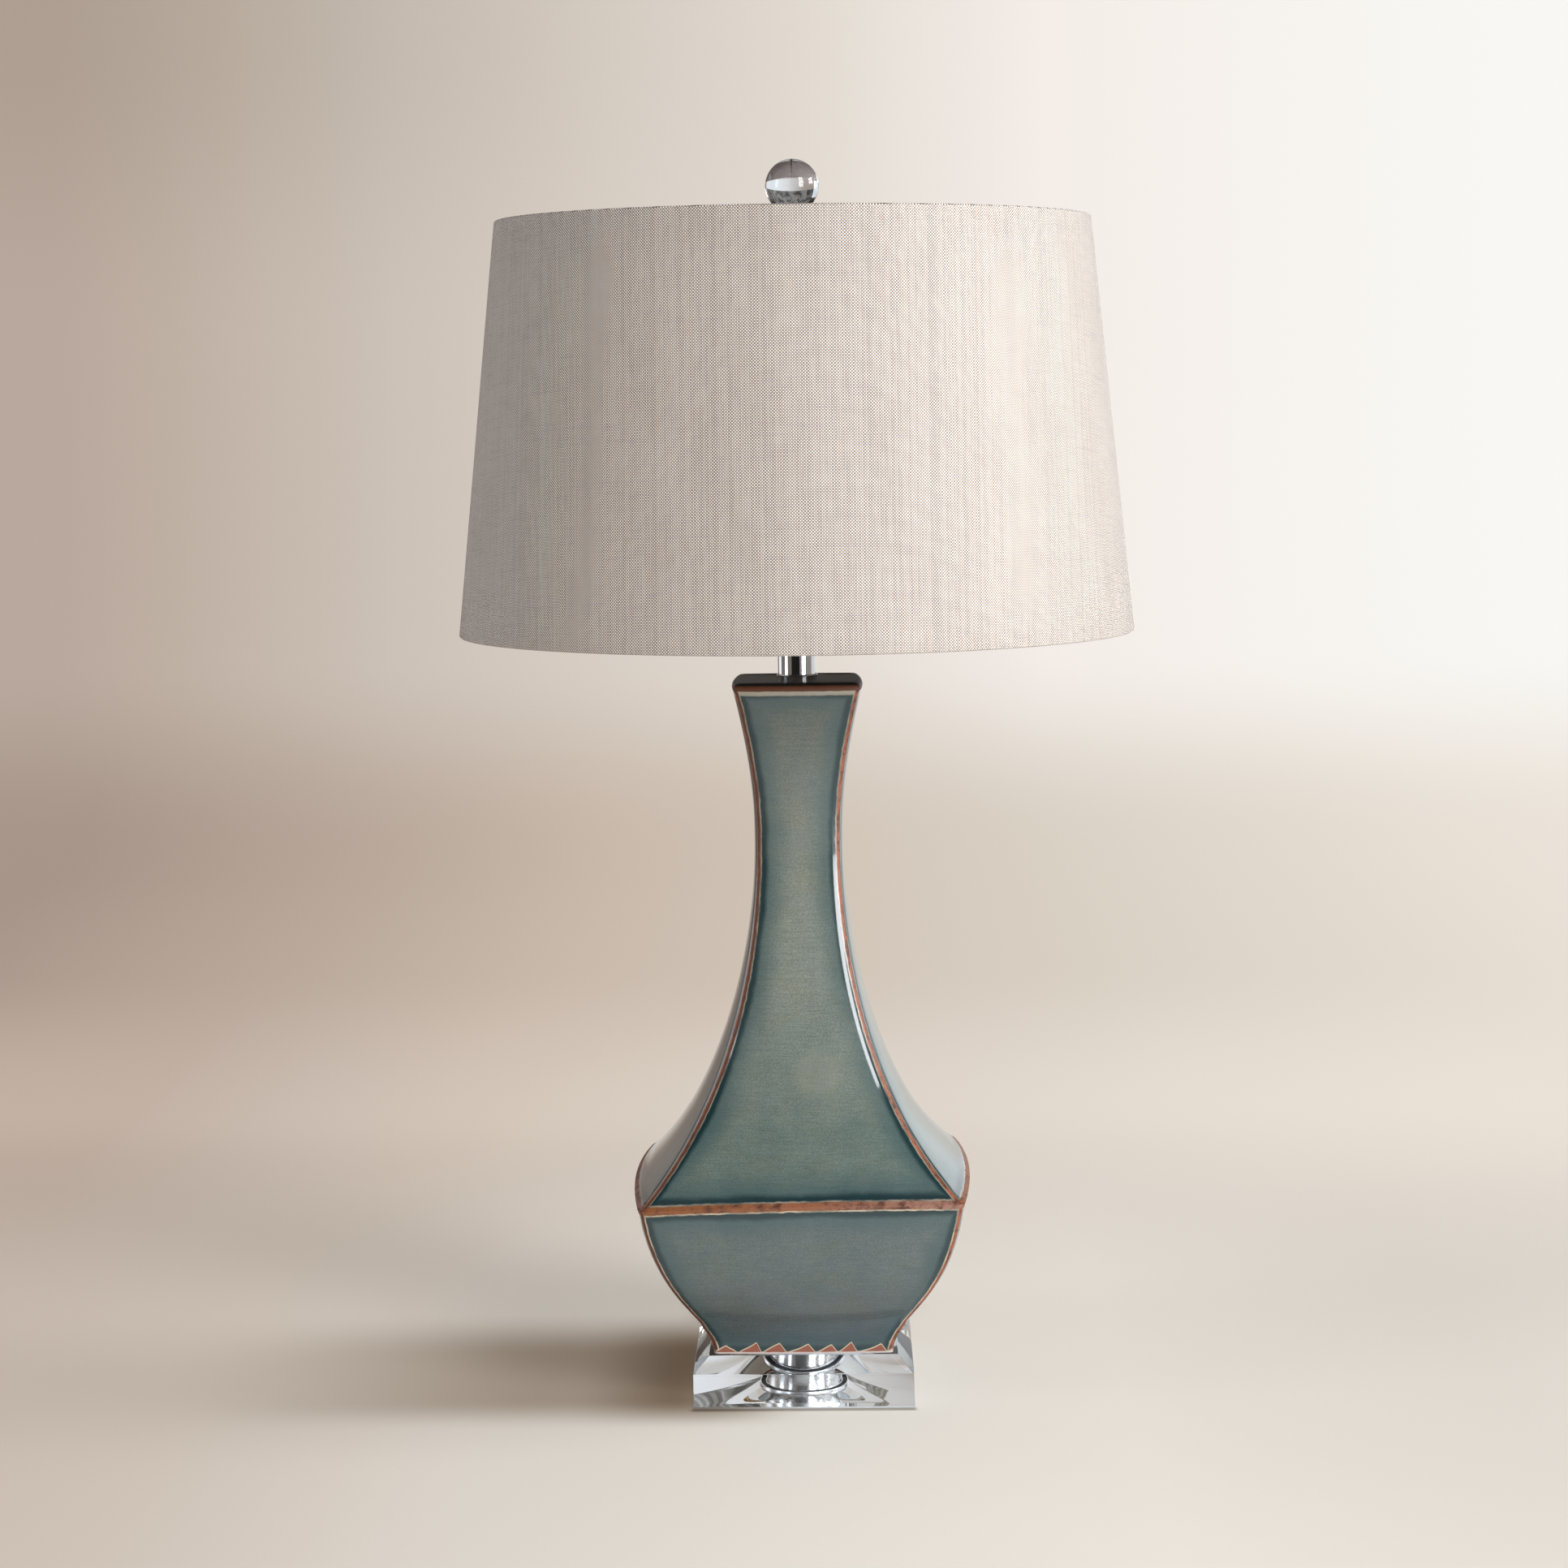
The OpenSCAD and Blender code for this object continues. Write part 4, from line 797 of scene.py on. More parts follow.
@dataclass(frozen=True)
class VaseShape:
    """The vase's outline and faces in millimetres above its foot, as its solid has them."""

    foot_z: float = 31.5
    foot_half: float = 55.1
    shoulder_half: float = 98.1
    waist_half: float = 26.1
    mouth_half: float = 38.8
    shoulder_h: float = 101.0
    waist_h: float = 313.7
    mouth_h: float = 409.4
    lip_r: float = 4.0
    lip_inset: float = 2.0
    panel_drop: float = 0.6
    foot_bow: float = 1.0
    shoulder_bow: float = 6.0
    neck_bow: float = 1.6
    ridge_arch: float = 2.4
    arch_reach: float = 45.0
    ridge_r: float = 2.6

    def curves(self) -> list[list[tuple[float, float]]]:
        """Gives the three curves of the outline, from the foot to the mouth."""
        foot, shoulder, waist, mouth = self.foot_half, self.shoulder_half, self.waist_half, self.mouth_half
        low, high, top = self.shoulder_h, self.waist_h, self.mouth_h
        swell, rise, flare = shoulder - foot, high - low, top - high
        return [
            [(foot, 0), (foot + 0.04 * swell, 0.24 * low), (shoulder - 0.205 * swell, 0.367 * low), (shoulder, low)],
            [(shoulder, low), (waist - 0.01 * (shoulder - waist), low + 0.33 * rise), (waist, low + 0.91 * rise),
             (waist, high)],
            [(waist, high), (waist, high + 0.27 * flare), (waist + 0.125 * (mouth - waist), high + 0.5 * flare),
             (mouth, top)]]

    def outline(self, steps: Sequence[int]) -> list[tuple[float, float]]:
        """Gives points along the outline.

        Args:
            steps: Number of steps on each curve.

        Returns:
            Half widths and heights, from the foot to the mouth.
        """
        points = [(self.foot_half, 0.0)]
        for curve, count in zip(self.curves(), steps):
            points += [cubic(curve, i / count) for i in range(1, count + 1)]
        return points

    def bow(self, h: float) -> float:
        """Gives how far the faces bow out at a height."""
        if h < self.shoulder_h:
            return self.foot_bow + (self.shoulder_bow - self.foot_bow) * math.sin(math.pi / 2 * h / self.shoulder_h)
        if h < self.waist_h:
            share = 1 - ((h - self.shoulder_h) / (self.waist_h - self.shoulder_h)) ** 2
            return self.neck_bow + (self.shoulder_bow - self.neck_bow) * share ** 2
        return self.neck_bow

    def arch(self, h: float) -> float:
        """Gives how far a level line arches up in the middle of a face."""
        return self.ridge_arch * max(0.0, 1 - abs(h - self.shoulder_h) / self.arch_reach)

    def back(self, h: float) -> float:
        """Gives the distance of the back face from the axis at a height."""
        points = self.outline((12, 20, 8))
        for (low_half, low), (high_half, high) in zip(points, points[1:]):
            if low <= h <= high:
                return low_half + (high_half - low_half) * (h - low) / (high - low) + self.bow(h)
        return self.foot_half


@dataclass
class Vase:
    """The glazed vase, with raised ridges and a hand-made line along its shoulder."""

    shape: VaseShape = VaseShape()
    near: tuple[float, ...] = (0, 0.5, 1.0, 1.5, 2.04, 2.6, 3.2, 4.0, 5.0, 6.2, 7.6, 9.2)
    spread: int = 8
    fine_step: float = 1.1
    coarse_step: float = 2.8
    tilt: float = 1.5
    tilt_reach: float = 40.0
    bead: float = 0.5
    bead_width: float = 1.3
    line_width: float = 2.0
    valley: float = 0.35
    valley_at: float = 5.6
    valley_width: float = 8 / 3
    roll: float = 1.1
    roll_start: float = 1.2
    roll_reach: float = 6.6
    lip_run: float = 8.0
    body_run: float = 415.0
    fade: float = 2.0
    far_off: float = 99.0

    def rows(self) -> list[tuple[float, float, float]]:
        """Lists the levels: half width, height and distance along the surface below the mouth's edge."""
        shape = self.shape
        dense = shape.outline((60, 90, 40))
        keep = [dense[0]]
        for point in dense[1:]:
            fine = abs(point[1] - shape.shoulder_h) < 9 or point[1] < 9 or point[1] > shape.mouth_h - 10
            step = self.fine_step if fine else self.coarse_step
            if math.dist(point, keep[-1]) >= step or point is dense[-1]:
                keep.append(point)
        lip = [(shape.mouth_half - shape.lip_r * (1 - math.cos(a)), shape.mouth_h + shape.lip_r * math.sin(a))
               for a in (math.pi / 12 * i for i in range(1, 7))]
        inner = shape.mouth_half - shape.lip_r - shape.lip_inset
        panel = shape.mouth_h + shape.lip_r - shape.panel_drop
        top = [(inner + 1.0, panel + 0.18), (inner, panel), (inner - 5, panel), (inner - 14, panel), (8.0, panel)]
        points = [(shape.foot_half - 6, 0.0), (shape.foot_half - 1.2, 0.0), *keep, *lip, *top]
        run = runs(points)
        edge = run[points.index(keep[-1])]
        return [(half, h, edge - s) for (half, h), s in zip(points, run)]

    def panel(self) -> Piece:
        """Models the front quarter of the vase, corner to corner, with its distances as attributes."""
        shape, near, rows = self.shape, self.near, self.rows()
        left = [(-1, i) for i in range(len(near) + self.spread - 1)]
        columns = left + [(0, len(left))] + [(1, i) for _, i in reversed(left)]
        piece = grid("vase_body", len(columns) - 1, len(rows) - 1)
        vertices = iter(piece.data.vertices)
        arc = shape.ridge_r * math.pi / 4
        distances = []
        for half, h, below in rows:
            flat = half - shape.ridge_r
            for side, k in columns:
                share = max(0, k - len(near) + 1) / self.spread
                q = min(flat + arc, near[min(k, len(near) - 1)] + (flat + arc - near[-1]) * share)
                if q < arc:
                    turn = math.pi / 4 - q / shape.ridge_r
                    x, out, lift = flat + shape.ridge_r * math.sin(turn), flat + shape.ridge_r * math.cos(turn), 0.0
                else:
                    x = flat - (q - arc)
                    bowed = 1 - (x / flat) ** 2
                    out, lift = half + shape.bow(h) * bowed, shape.arch(h) * bowed
                if below < -self.lip_run:
                    out, lift = half, 0.0
                next(vertices).co = Vector((side * x, -out, shape.foot_z + h + lift)) * MM
                distances.append((q, h - shape.shoulder_h, below, h if below > -1 else self.far_off, side * x))
        for name, values in zip(("edge", "rise", "mouth", "foot", "across"), zip(*distances)):
            piece.data.attributes.new(name, "FLOAT", "POINT").data.foreach_set("value", values)
        return piece

    def turn_round(self, piece: Piece) -> None:
        """Copies the front quarter round the axis and joins the four into one closed body.

        Args:
            piece: The front quarter, which becomes the whole vase.
        """
        quarters = [piece]
        for turns in (1, 2, 3):
            activate(piece)
            bpy.ops.object.duplicate(linked=False)
            copy = bpy.context.object
            bpy.ops.transform.rotate(value=-math.pi / 2 * turns, orient_axis="Z", center_override=(0, 0, 0))
            settle(copy)
            quarters.append(copy)
        activate(*quarters)
        bpy.ops.object.join()
        weld(piece, 2 * MERGE, close=True)

    def raise_ridges(self, piece: Piece) -> None:
        """Leans the shoulder line as it was thrown by hand, and raises the ridges with a hollow beside each.

        Args:
            piece: The whole vase.
        """
        mesh, start, reach = piece.data, self.roll_start, self.roll_reach
        moves = []
        for vertex, edge, rise in zip(mesh.vertices, mesh.attributes["edge"].data, mesh.attributes["rise"].data):
            lean = self.tilt * max(0.0, 1 - abs(rise.value) / self.tilt_reach)
            lean *= vertex.co.x / (self.shape.shoulder_half * MM)
            away = abs(rise.value)
            on_edge, on_line = (math.exp(-((d / w) ** 2)) for d, w in ((edge.value, self.bead_width),
                                                                       (away, self.line_width)))
            rolled = max(0.0, 1 - max(edge.value, start) / reach) ** 2 / (1 - start / reach) ** 2
            hollow = self.valley * math.exp(-(((away - self.valley_at) / self.valley_width) ** 2)) * (1 - on_edge)
            height = self.bead * max(on_edge, on_line) - max(self.roll * rolled, hollow)
            moves.append(vertex.normal * height * MM + Vector((0, 0, lean * MM)))
        for vertex, move, mouth in zip(mesh.vertices, moves, mesh.attributes["mouth"].data):
            if 0 <= mouth.value < self.body_run:
                vertex.co += move * min(1.0, mouth.value / self.fade)

    def build(self) -> None:
        """Builds the vase."""
        piece = self.panel()
        self.turn_round(piece)
        self.raise_ridges(piece)
        smooth(piece, 40)
        paint(piece, Glaze().make())
        mount(piece, "lamp", "glazed_ceramic", "vase")


@dataclass
class Base:
    """The clear bevelled block, with its recess for the clamp plate, and its pads."""

    width: float = 135.7
    low: float = 1.2
    thick: float = 30.22
    bevel: float = 9.6
    hole: float = 43.6
    plate: float = 51.2
    recess: float = 1.6
    edge: float = 0.45
    clear: Clear = Clear("polished_acrylic", (0.925, 0.95, 0.98), 1.49, 0.0, 0.035)
    sawn: Clear = Clear("sawn_acrylic", (0.95, 0.96, 0.96), 1.49, 0.22, 0.2, 0.00004)
    pads: Plastic = Plastic("pad_rubber", (0.7, 0.71, 0.7), (0.62, 0.63, 0.62), 0.4)

    def block(self) -> Piece:
        """Models the block: a cube with a wide bevel on top, a hole down its middle and eased edges."""
        middle = self.low + self.thick / 2
        piece = add("clear_block", bpy.ops.mesh.primitive_cube_add, size=1, location=(0, 0, middle * MM))
        piece.scale = Vector((self.width, self.width, self.thick)) * MM
        settle(piece)

        def chamfer() -> None:
            """Bevels the four top edges."""
            pick_edges(piece, lambda co: co.z > (self.low + self.thick) * MM - 1e-5)
            bpy.ops.mesh.bevel(offset=self.bevel * MM, segments=1, affect="EDGES")

        in_edit(piece, chamfer)
        for name, wide, tall, z in (("bore", self.hole, self.thick + 4, middle),
                                    ("recess", self.plate, 2 * self.recess, self.low)):
            cutter = add(name, bpy.ops.mesh.primitive_cylinder_add, vertices=128, radius=wide / 2 * MM,
                         depth=tall * MM, location=(0, 0, z * MM))
            modify(piece, "BOOLEAN", object=cutter, operation="DIFFERENCE", solver="EXACT")
            bpy.data.objects.remove(cutter)
        modify(piece, "BEVEL", width=self.edge * MM, segments=2, limit_method="ANGLE",
               angle_limit=math.radians(32), harden_normals=False)
        weld(piece)
        return piece

    def build(self) -> None:
        """Builds the base."""
        piece = self.block()
        smooth(piece, 30)
        paint(piece, self.clear.make(), self.sawn.make())
        for face in piece.data.polygons:
            middle = Vector(face.center)
            if math.hypot(middle.x, middle.y) < (self.plate / 2 + 0.4) * MM and abs(face.normal.z) < 0.5:
                face.material_index = 1
        piece.visible_shadow = False
        mount(piece, "lamp", "clear_acrylic", "base_block")
        dress(self.pads.make(), "foot_pads")


@dataclass
class Cord:
    """The flat twin cord from the vase to its plug, coiled behind the base."""

    width: float = 5.4
    thick: float = 2.8
    coil_at: tuple[float, float] = (-14.0, 150.0)
    coil_r: float = 37.0
    turns: float = 8.5
    turn_gap: float = 0.45
    layers: tuple[float, float] = (3.4, 9.4)
    climb: float = 0.25
    step_out: float = 0.75
    steps: int = 40
    straight: float = 0.9
    tail_haste: float = 1.45
    web: float = 0.66
    web_share: float = 0.25
    relief: float = 25.6
    hole_h: float = 21.6
    run: tuple[Place, ...] = (
        (0, 96.4, 30.6), (2.6, 103.5, 27.6), (7.8, 111, 25), (14.5, 118.6, 22.3), (21, 127, 19.2),
        (26.6, 136.3, 15.9), (30.4, 146.6, 12.6), (31.6, 157.3, 9.5), (30, 167.5, 7), (25.6, 176, 5.2),
        (18.8, 182.6, 4.2), (10.4, 186.4, 3.6), (1.2, 187.6, 3.4))
    tail: tuple[Place, ...] = (
        (-2, 113, 9), (4.5, 113, 7.8), (11, 113, 6.2), (17.5, 113, 4.7), (24, 113.4, 3.4), (30, 114.4, 2.4),
        (35.5, 116.4, 1.9), (41, 120, 1.7), (46, 125, 1.8), (50, 132, 2.2), (52, 139, 3), (53, 145, 4.2))
    tail_end: Place = (53.5, 150, 6)
    vinyl: Clear = Clear("clear_vinyl", tone(232, 222, 200), 1.5, 0.12, 0.1, 0.00004)
    tie: Plastic = Plastic("tie_plastic", (0.02, 0.02, 0.02), (0.03, 0.03, 0.03), 0.45)
    inner: Plastic = Plastic("inner_lead_vinyl", tone(214, 196, 160), tone(200, 184, 150), 0.35, coat=0.6)

    def exit(self) -> tuple[Vector, Vector]:
        """Gives the point where the cord leaves its strain relief, and the way that it points."""
        shape = VaseShape()
        slope = (shape.back(self.hole_h + 2) - shape.back(self.hole_h - 2)) / 4
        out = Vector((0, 1, -slope)).normalized()
        return Vector((0, shape.back(self.hole_h), shape.foot_z + self.hole_h)) + self.relief * out, out

    def inwards(self, u: float) -> float:
        """Gives how far a turn lies outside the innermost one, u turns from where the coil turns back."""
        pitch = self.thick + self.turn_gap
        if abs(u) < self.climb:
            return 0.0
        if abs(u) < self.step_out:
            return pitch * (abs(u) - self.climb) / (self.step_out - self.climb)
        return pitch * (1 + abs(u) - self.step_out)

    def coil_point(self, turn: float) -> Vector:
        """Places a point of the coil.

        Args:
            turn: Turns from the coil's start.

        Returns:
            The point, in millimetres.
        """
        u = turn - self.turns / 2
        radius = self.coil_r - self.inwards(self.turns / 2) + self.inwards(u)
        height = self.layers[0] + (self.layers[1] - self.layers[0]) * ease((u + self.climb) / (2 * self.climb))
        angle = math.pi / 2 + 2 * math.pi * turn
        return Vector((self.coil_at[0] + radius * math.cos(angle), self.coil_at[1] + radius * math.sin(angle), height))

    def route(self) -> list[tuple[Vector, float]]:
        """Lists the cord's middle with its twist in degrees: 0 lying flat and 90 on its edge."""
        start, out = self.exit()
        run = [start, start + self.straight * self.width * out, *map(Vector, self.run)]
        coil = [self.coil_point(k / self.steps) for k in range(int(self.turns * self.steps) + 1)]
        lead_in, lead_out = coil[0] + Vector((self.width, 0, 0)), coil[-1] + Vector((self.width, 0, 0))
        run = self.rounded([*run, lead_in], out, Vector((-1, 0, 0)))
        tail = self.rounded([lead_out, *map(Vector, self.tail), Vector(self.tail_end)], Vector((1, 0, 0)),
                            Vector((0, 1, 0)))
        twists = [90 * ease(1.1 * i / (len(run) - 1) - 0.05) for i in range(len(run))] + [90.0] * len(coil)
        twists += [90 - 90 * ease(1.1 * self.tail_haste * i / (len(tail) - 1) - 0.05) for i in range(len(tail))]
        return list(zip([*run, *coil, *tail], twists))

    @staticmethod
    def rounded(points: Sequence[Vector], first: Vector, last: Vector, parts: int = 4) -> list[Vector]:
        """Draws a smooth line through chosen points.

        Args:
            points: The points.
            first: Direction at the start.
            last: Direction at the end.
            parts: Steps between two points.

        Returns:
            Points on the line.
        """
        ways = [first * (points[1] - points[0]).length, *((c - a) / 2 for a, c in zip(points, points[2:])),
                last * (points[-1] - points[-2]).length]
        line = []
        for a, b, way_a, way_b in zip(points, points[1:], ways, ways[1:]):
            for t in (i / parts for i in range(parts)):
                line.append((2 * t ** 3 - 3 * t * t + 1) * a + (t ** 3 - 2 * t * t + t) * way_a
                            + (3 * t * t - 2 * t ** 3) * b + (t ** 3 - t * t) * way_b)
        return [*line, points[-1]]

    def section(self, count: int = 24) -> list[tuple[float, float]]:
        """Gives the outline across the cord: two round leads with a web between them."""
        lobe = self.thick / 2
        middle = self.width / 2 - lobe
        outline = []
        for i in range(count):
            angle = 2 * math.pi * i / count
            wide, high = math.cos(angle), math.sin(angle)
            x = middle * wide / self.web_share
            if abs(wide) > self.web_share:
                x = math.copysign(middle, wide) + lobe * wide
            thin = self.web + (1 - self.web) * min(1.0, abs(x) / middle)
            y = lobe * thin * math.copysign(math.sqrt(max(0.0, 1 - max(0.0, (abs(x) - middle) / lobe) ** 2)), high)
            outline.append((x, y if abs(high) > 1e-9 else 0.0))
        return outline

    def build(self) -> None:
        route, outline = self.route(), self.section()
        count, last = len(outline), len(route) - 1
        piece = grid("twin_cord", count, last)
        vertices = iter(piece.data.vertices)
        lengths = runs([at for at, _ in route])
        for j, (at, twist) in enumerate(route):
            way = (route[min(last, j + 1)][0] - route[max(0, j - 1)][0]).normalized()
            if j in (0, last):
                way = Vector((0, 1, 0)) if j else self.exit()[1]
            side = way.cross(Vector((0, 0, 1))).normalized()
            lift = side.cross(way)
            turn = math.radians(twist)
            wide = math.cos(turn) * side + math.sin(turn) * lift
            thin = math.cos(turn) * lift - math.sin(turn) * side
            for x, y in [*outline, outline[0]]:
                next(vertices).co = (at + x * wide + y * thin) * MM
        layer = piece.data.uv_layers.active or piece.data.uv_layers.new(name="UVMap")
        for corner in piece.data.loops:
            row, column = divmod(corner.vertex_index, count + 1)
            layer.data[corner.index].uv = (column / count, lengths[row] * MM)
        weld(piece, close=True)
        smooth(piece, 50)
        paint(piece, TwinLead().make())
        mount(piece, "lamp", "clear_vinyl", "cord_run", "cord_coil", "cord_tail")
        self.exit()[0] * MM
        [p * MM for p, _ in route]
        dress(self.vinyl.make(), "strain_relief", "plug_body")
        dress(self.tie.make(), "cord_tie")
        dress(self.inner.make(), "inner_lead")


@dataclass
class Shade:
    """The tapered drum shade with its woven cover, liner and wire frame."""

    top_r: float = 181.7
    bottom_r: float = 207.8
    top_z: float = 725.3
    height: float = 251.6
    cover: float = 0.8
    soft: float = 1.1
    top_fold: float = 5.5
    bottom_fold: float = 4.5
    hem: float = 6.0
    rings: int = 12
    steps: int = 288
    # The liner's grey is painted shade: the white styrene is toned down for the dim inside of the shade.
    liner: Mottle = Mottle("styrene_liner", tone(170, 160, 158), tone(184, 176, 173), 30, 4)
    wire: Metal = Metal("brushed_nickel_wire", (0.62, 0.6, 0.56), (0.5, 0.47, 0.43), 0.28)

    def radius(self, z: float) -> float:
        """Gives the outer radius at a height."""
        return self.top_r + (self.top_z - z) * (self.bottom_r - self.top_r) / self.height

    def profile(self) -> list[tuple[float, float]]:
        """Gives the cover's closed section: the outside, the two rolled edges and the hems behind them."""
        soft, cover, top, low = self.soft, self.cover, self.top_z, self.top_z - self.height
        top_in, bottom_in = self.radius(top) - self.top_fold, self.radius(low) - self.bottom_fold
        rolled = [(math.cos(a), math.sin(a)) for a in (math.pi / 8 * i for i in range(5))]
        points = [(self.top_r - soft + soft * c, top - soft + soft * s) for c, s in rolled]
        points += [(top_in + soft - soft * s, top - soft + soft * c) for c, s in rolled]
        points += [(top_in, top - self.hem), (top_in + cover, top - self.hem), (top_in + cover, top - soft),
                   (self.radius(top) - cover - 0.4, top - soft)]
        points += [(self.radius(low) - cover - 0.1, low + soft), (bottom_in + cover, low + soft),
                   (bottom_in + cover, low + self.hem), (bottom_in, low + self.hem)]
        points += [(bottom_in + soft - soft * c, low + soft - soft * s) for c, s in rolled]
        points += [(self.bottom_r - soft + soft * s, low + soft - soft * c) for c, s in rolled]
        heights = (low + soft + (self.height - 2 * soft) * i / self.rings for i in range(1, self.rings))
        points += [(self.radius(z), z) for z in heights]
        return points

    def build(self) -> None:
        """Builds the shade."""
        points = self.profile()
        piece = add("shade_cover", bpy.ops.mesh.primitive_circle_add, vertices=len(points), radius=1)
        for vertex, (r, z) in zip(piece.data.vertices, points):
            vertex.co = Vector((0, -r, z)) * MM

        def spin() -> None:
            """Turns the section once round the axis."""
            bpy.ops.mesh.spin(steps=self.steps, angle=2 * math.pi, center=(0, 0, 0), axis=(0, 0, 1))

        in_edit(piece, spin)
        weld(piece)
        self.unroll(piece)
        smooth(piece, 45)
        paint(piece, Twill().make())
        mount(piece, "shade", "shade_fabric", "shade_fabric")
        liner = self.liner.start(ior=1.5, roughness=0.45)
        liner.relief(liner.noise(liner.point(), 260, 3), 0.0001)
        dress(liner.material, "shade_liner")
        dress(self.wire.make(), "spider", "shade_bottom_ring")

    def unroll(self, piece: Piece) -> None:
        """Maps the cover as the flat cloth that it was cut from, in metres, with the seam at the back.

        Args:
            piece: The cover.
        """
        slope = (self.bottom_r - self.top_r) / self.height
        sine = slope / math.hypot(1, slope)
        mesh = piece.data
        layer = mesh.uv_layers.active or mesh.uv_layers.new(name="UVMap")
        for face in mesh.polygons:
            seam = math.atan2(face.center.x, -face.center.y) - math.pi
            for index in face.loop_indices:
                co = mesh.vertices[mesh.loops[index].vertex_index].co
                flat = (seam + (math.atan2(co.x, -co.y) - seam) % (2 * math.pi)) * sine
                outer = self.radius(co.z / MM) * MM
                inward = outer - math.hypot(co.x, co.y)
                layer.data[index].uv = (outer / sine * math.sin(flat), outer / sine * math.cos(flat) + inward)


@dataclass
class Fittings:
    """The neck, harp, socket, bulb and finial, which keep their solids and get their finishes."""

    bulb: Mottle = Mottle("frosted_glass", tone(238, 236, 230), tone(247, 246, 242), 25, 3)
    finishes: tuple[tuple[Union[Metal, Plastic, Clear], tuple[str, ...]], ...] = (
        (Metal("polished_chrome", (0.86, 0.87, 0.89), (0.8, 0.81, 0.83), 0.04, Lay.ROUND, 0.000004),
         ("base_tube", "neck_collar", "neck_tube", "neck_cap", "finial_base")),
        (Metal("satin_brass", tone(206, 176, 116), tone(176, 142, 88), 0.24, Lay.ROUND),
         ("clamp_nut", "neck_nut", "terminal_screws", "screw_shell", "centre_contact", "plug_blades", "socket_cap",
          "socket_shell", "harp_saddle", "harp_stud", "ferrule_left", "ferrule_right", "switch_shaft")),
        (Metal("drawn_brass", tone(204, 174, 112), tone(178, 146, 90), 0.22, Lay.ALONG), ("harp",)),
        (Metal("rolled_brass", tone(196, 166, 110), tone(160, 130, 84), 0.3, Lay.ROUND, 0.0003),
         ("threaded_pipe",)),
        (Metal("zinc_plate", (0.56, 0.57, 0.58), (0.44, 0.45, 0.46), 0.32), ("lock_washer",)),
        (Metal("satin_nickel", (0.8, 0.81, 0.83), (0.7, 0.71, 0.73), 0.3, Lay.ROUND), ("clamp_plate",)),
        (Metal("black_oxide", (0.06, 0.06, 0.065), (0.1, 0.1, 0.1), 0.4), ("socket_set_screw",)),
        (Metal("rolled_nickel", (0.66, 0.64, 0.61), (0.52, 0.5, 0.47), 0.2, Lay.ROUND),
         ("bulb_base", "bulb_contact")),
        (Plastic("knob_plastic", (0.016, 0.016, 0.016), (0.03, 0.03, 0.03), 0.38), ("switch_knob",)),
        (Plastic("black_glass", (0.012, 0.012, 0.014), (0.02, 0.02, 0.022), 0.1), ("bulb_insulator",)),
        (Plastic("porcelain", tone(238, 234, 222), tone(226, 220, 206), 0.35, 1200), ("socket_body",)),
        (Plastic("fibre_sleeve", tone(158, 134, 100), tone(134, 112, 82), 0.8, 900, 0.0001), ("socket_sleeve",)),
        (Clear("crystal", (0.94, 0.955, 0.975), 1.5, 0.0, 0.01), ("finial_ball",)))

    def build(self) -> None:
        """Dresses the fittings."""
        for finish, nodes in self.finishes:
            dress(finish.make(), *nodes)
        bulb = self.bulb.start(ior=1.5, subsurface_weight=0.35, subsurface_radius=(0.01, 0.01, 0.01),
                               subsurface_scale=0.5)
        bulb.feed(roughness=bulb.noise(bulb.point(), 400).step(0.3, 0.7, 0.3, 0.42))
        dress(bulb.material, "bulb_glass")


@dataclass(frozen=True)
class Panel:
    """A flat light or card: its name, its middle, the point that it faces, and its width and height, in metres."""

    name: str
    at: tuple[float, float, float]
    aim: tuple[float, float, float]
    size: tuple[float, float]

    def turn(self, face: str) -> Euler:
        """Gives the rotation that points one of its axes at its aim."""
        return (Vector(self.aim) - Vector(self.at)).to_track_quat(face, "Y").to_euler()


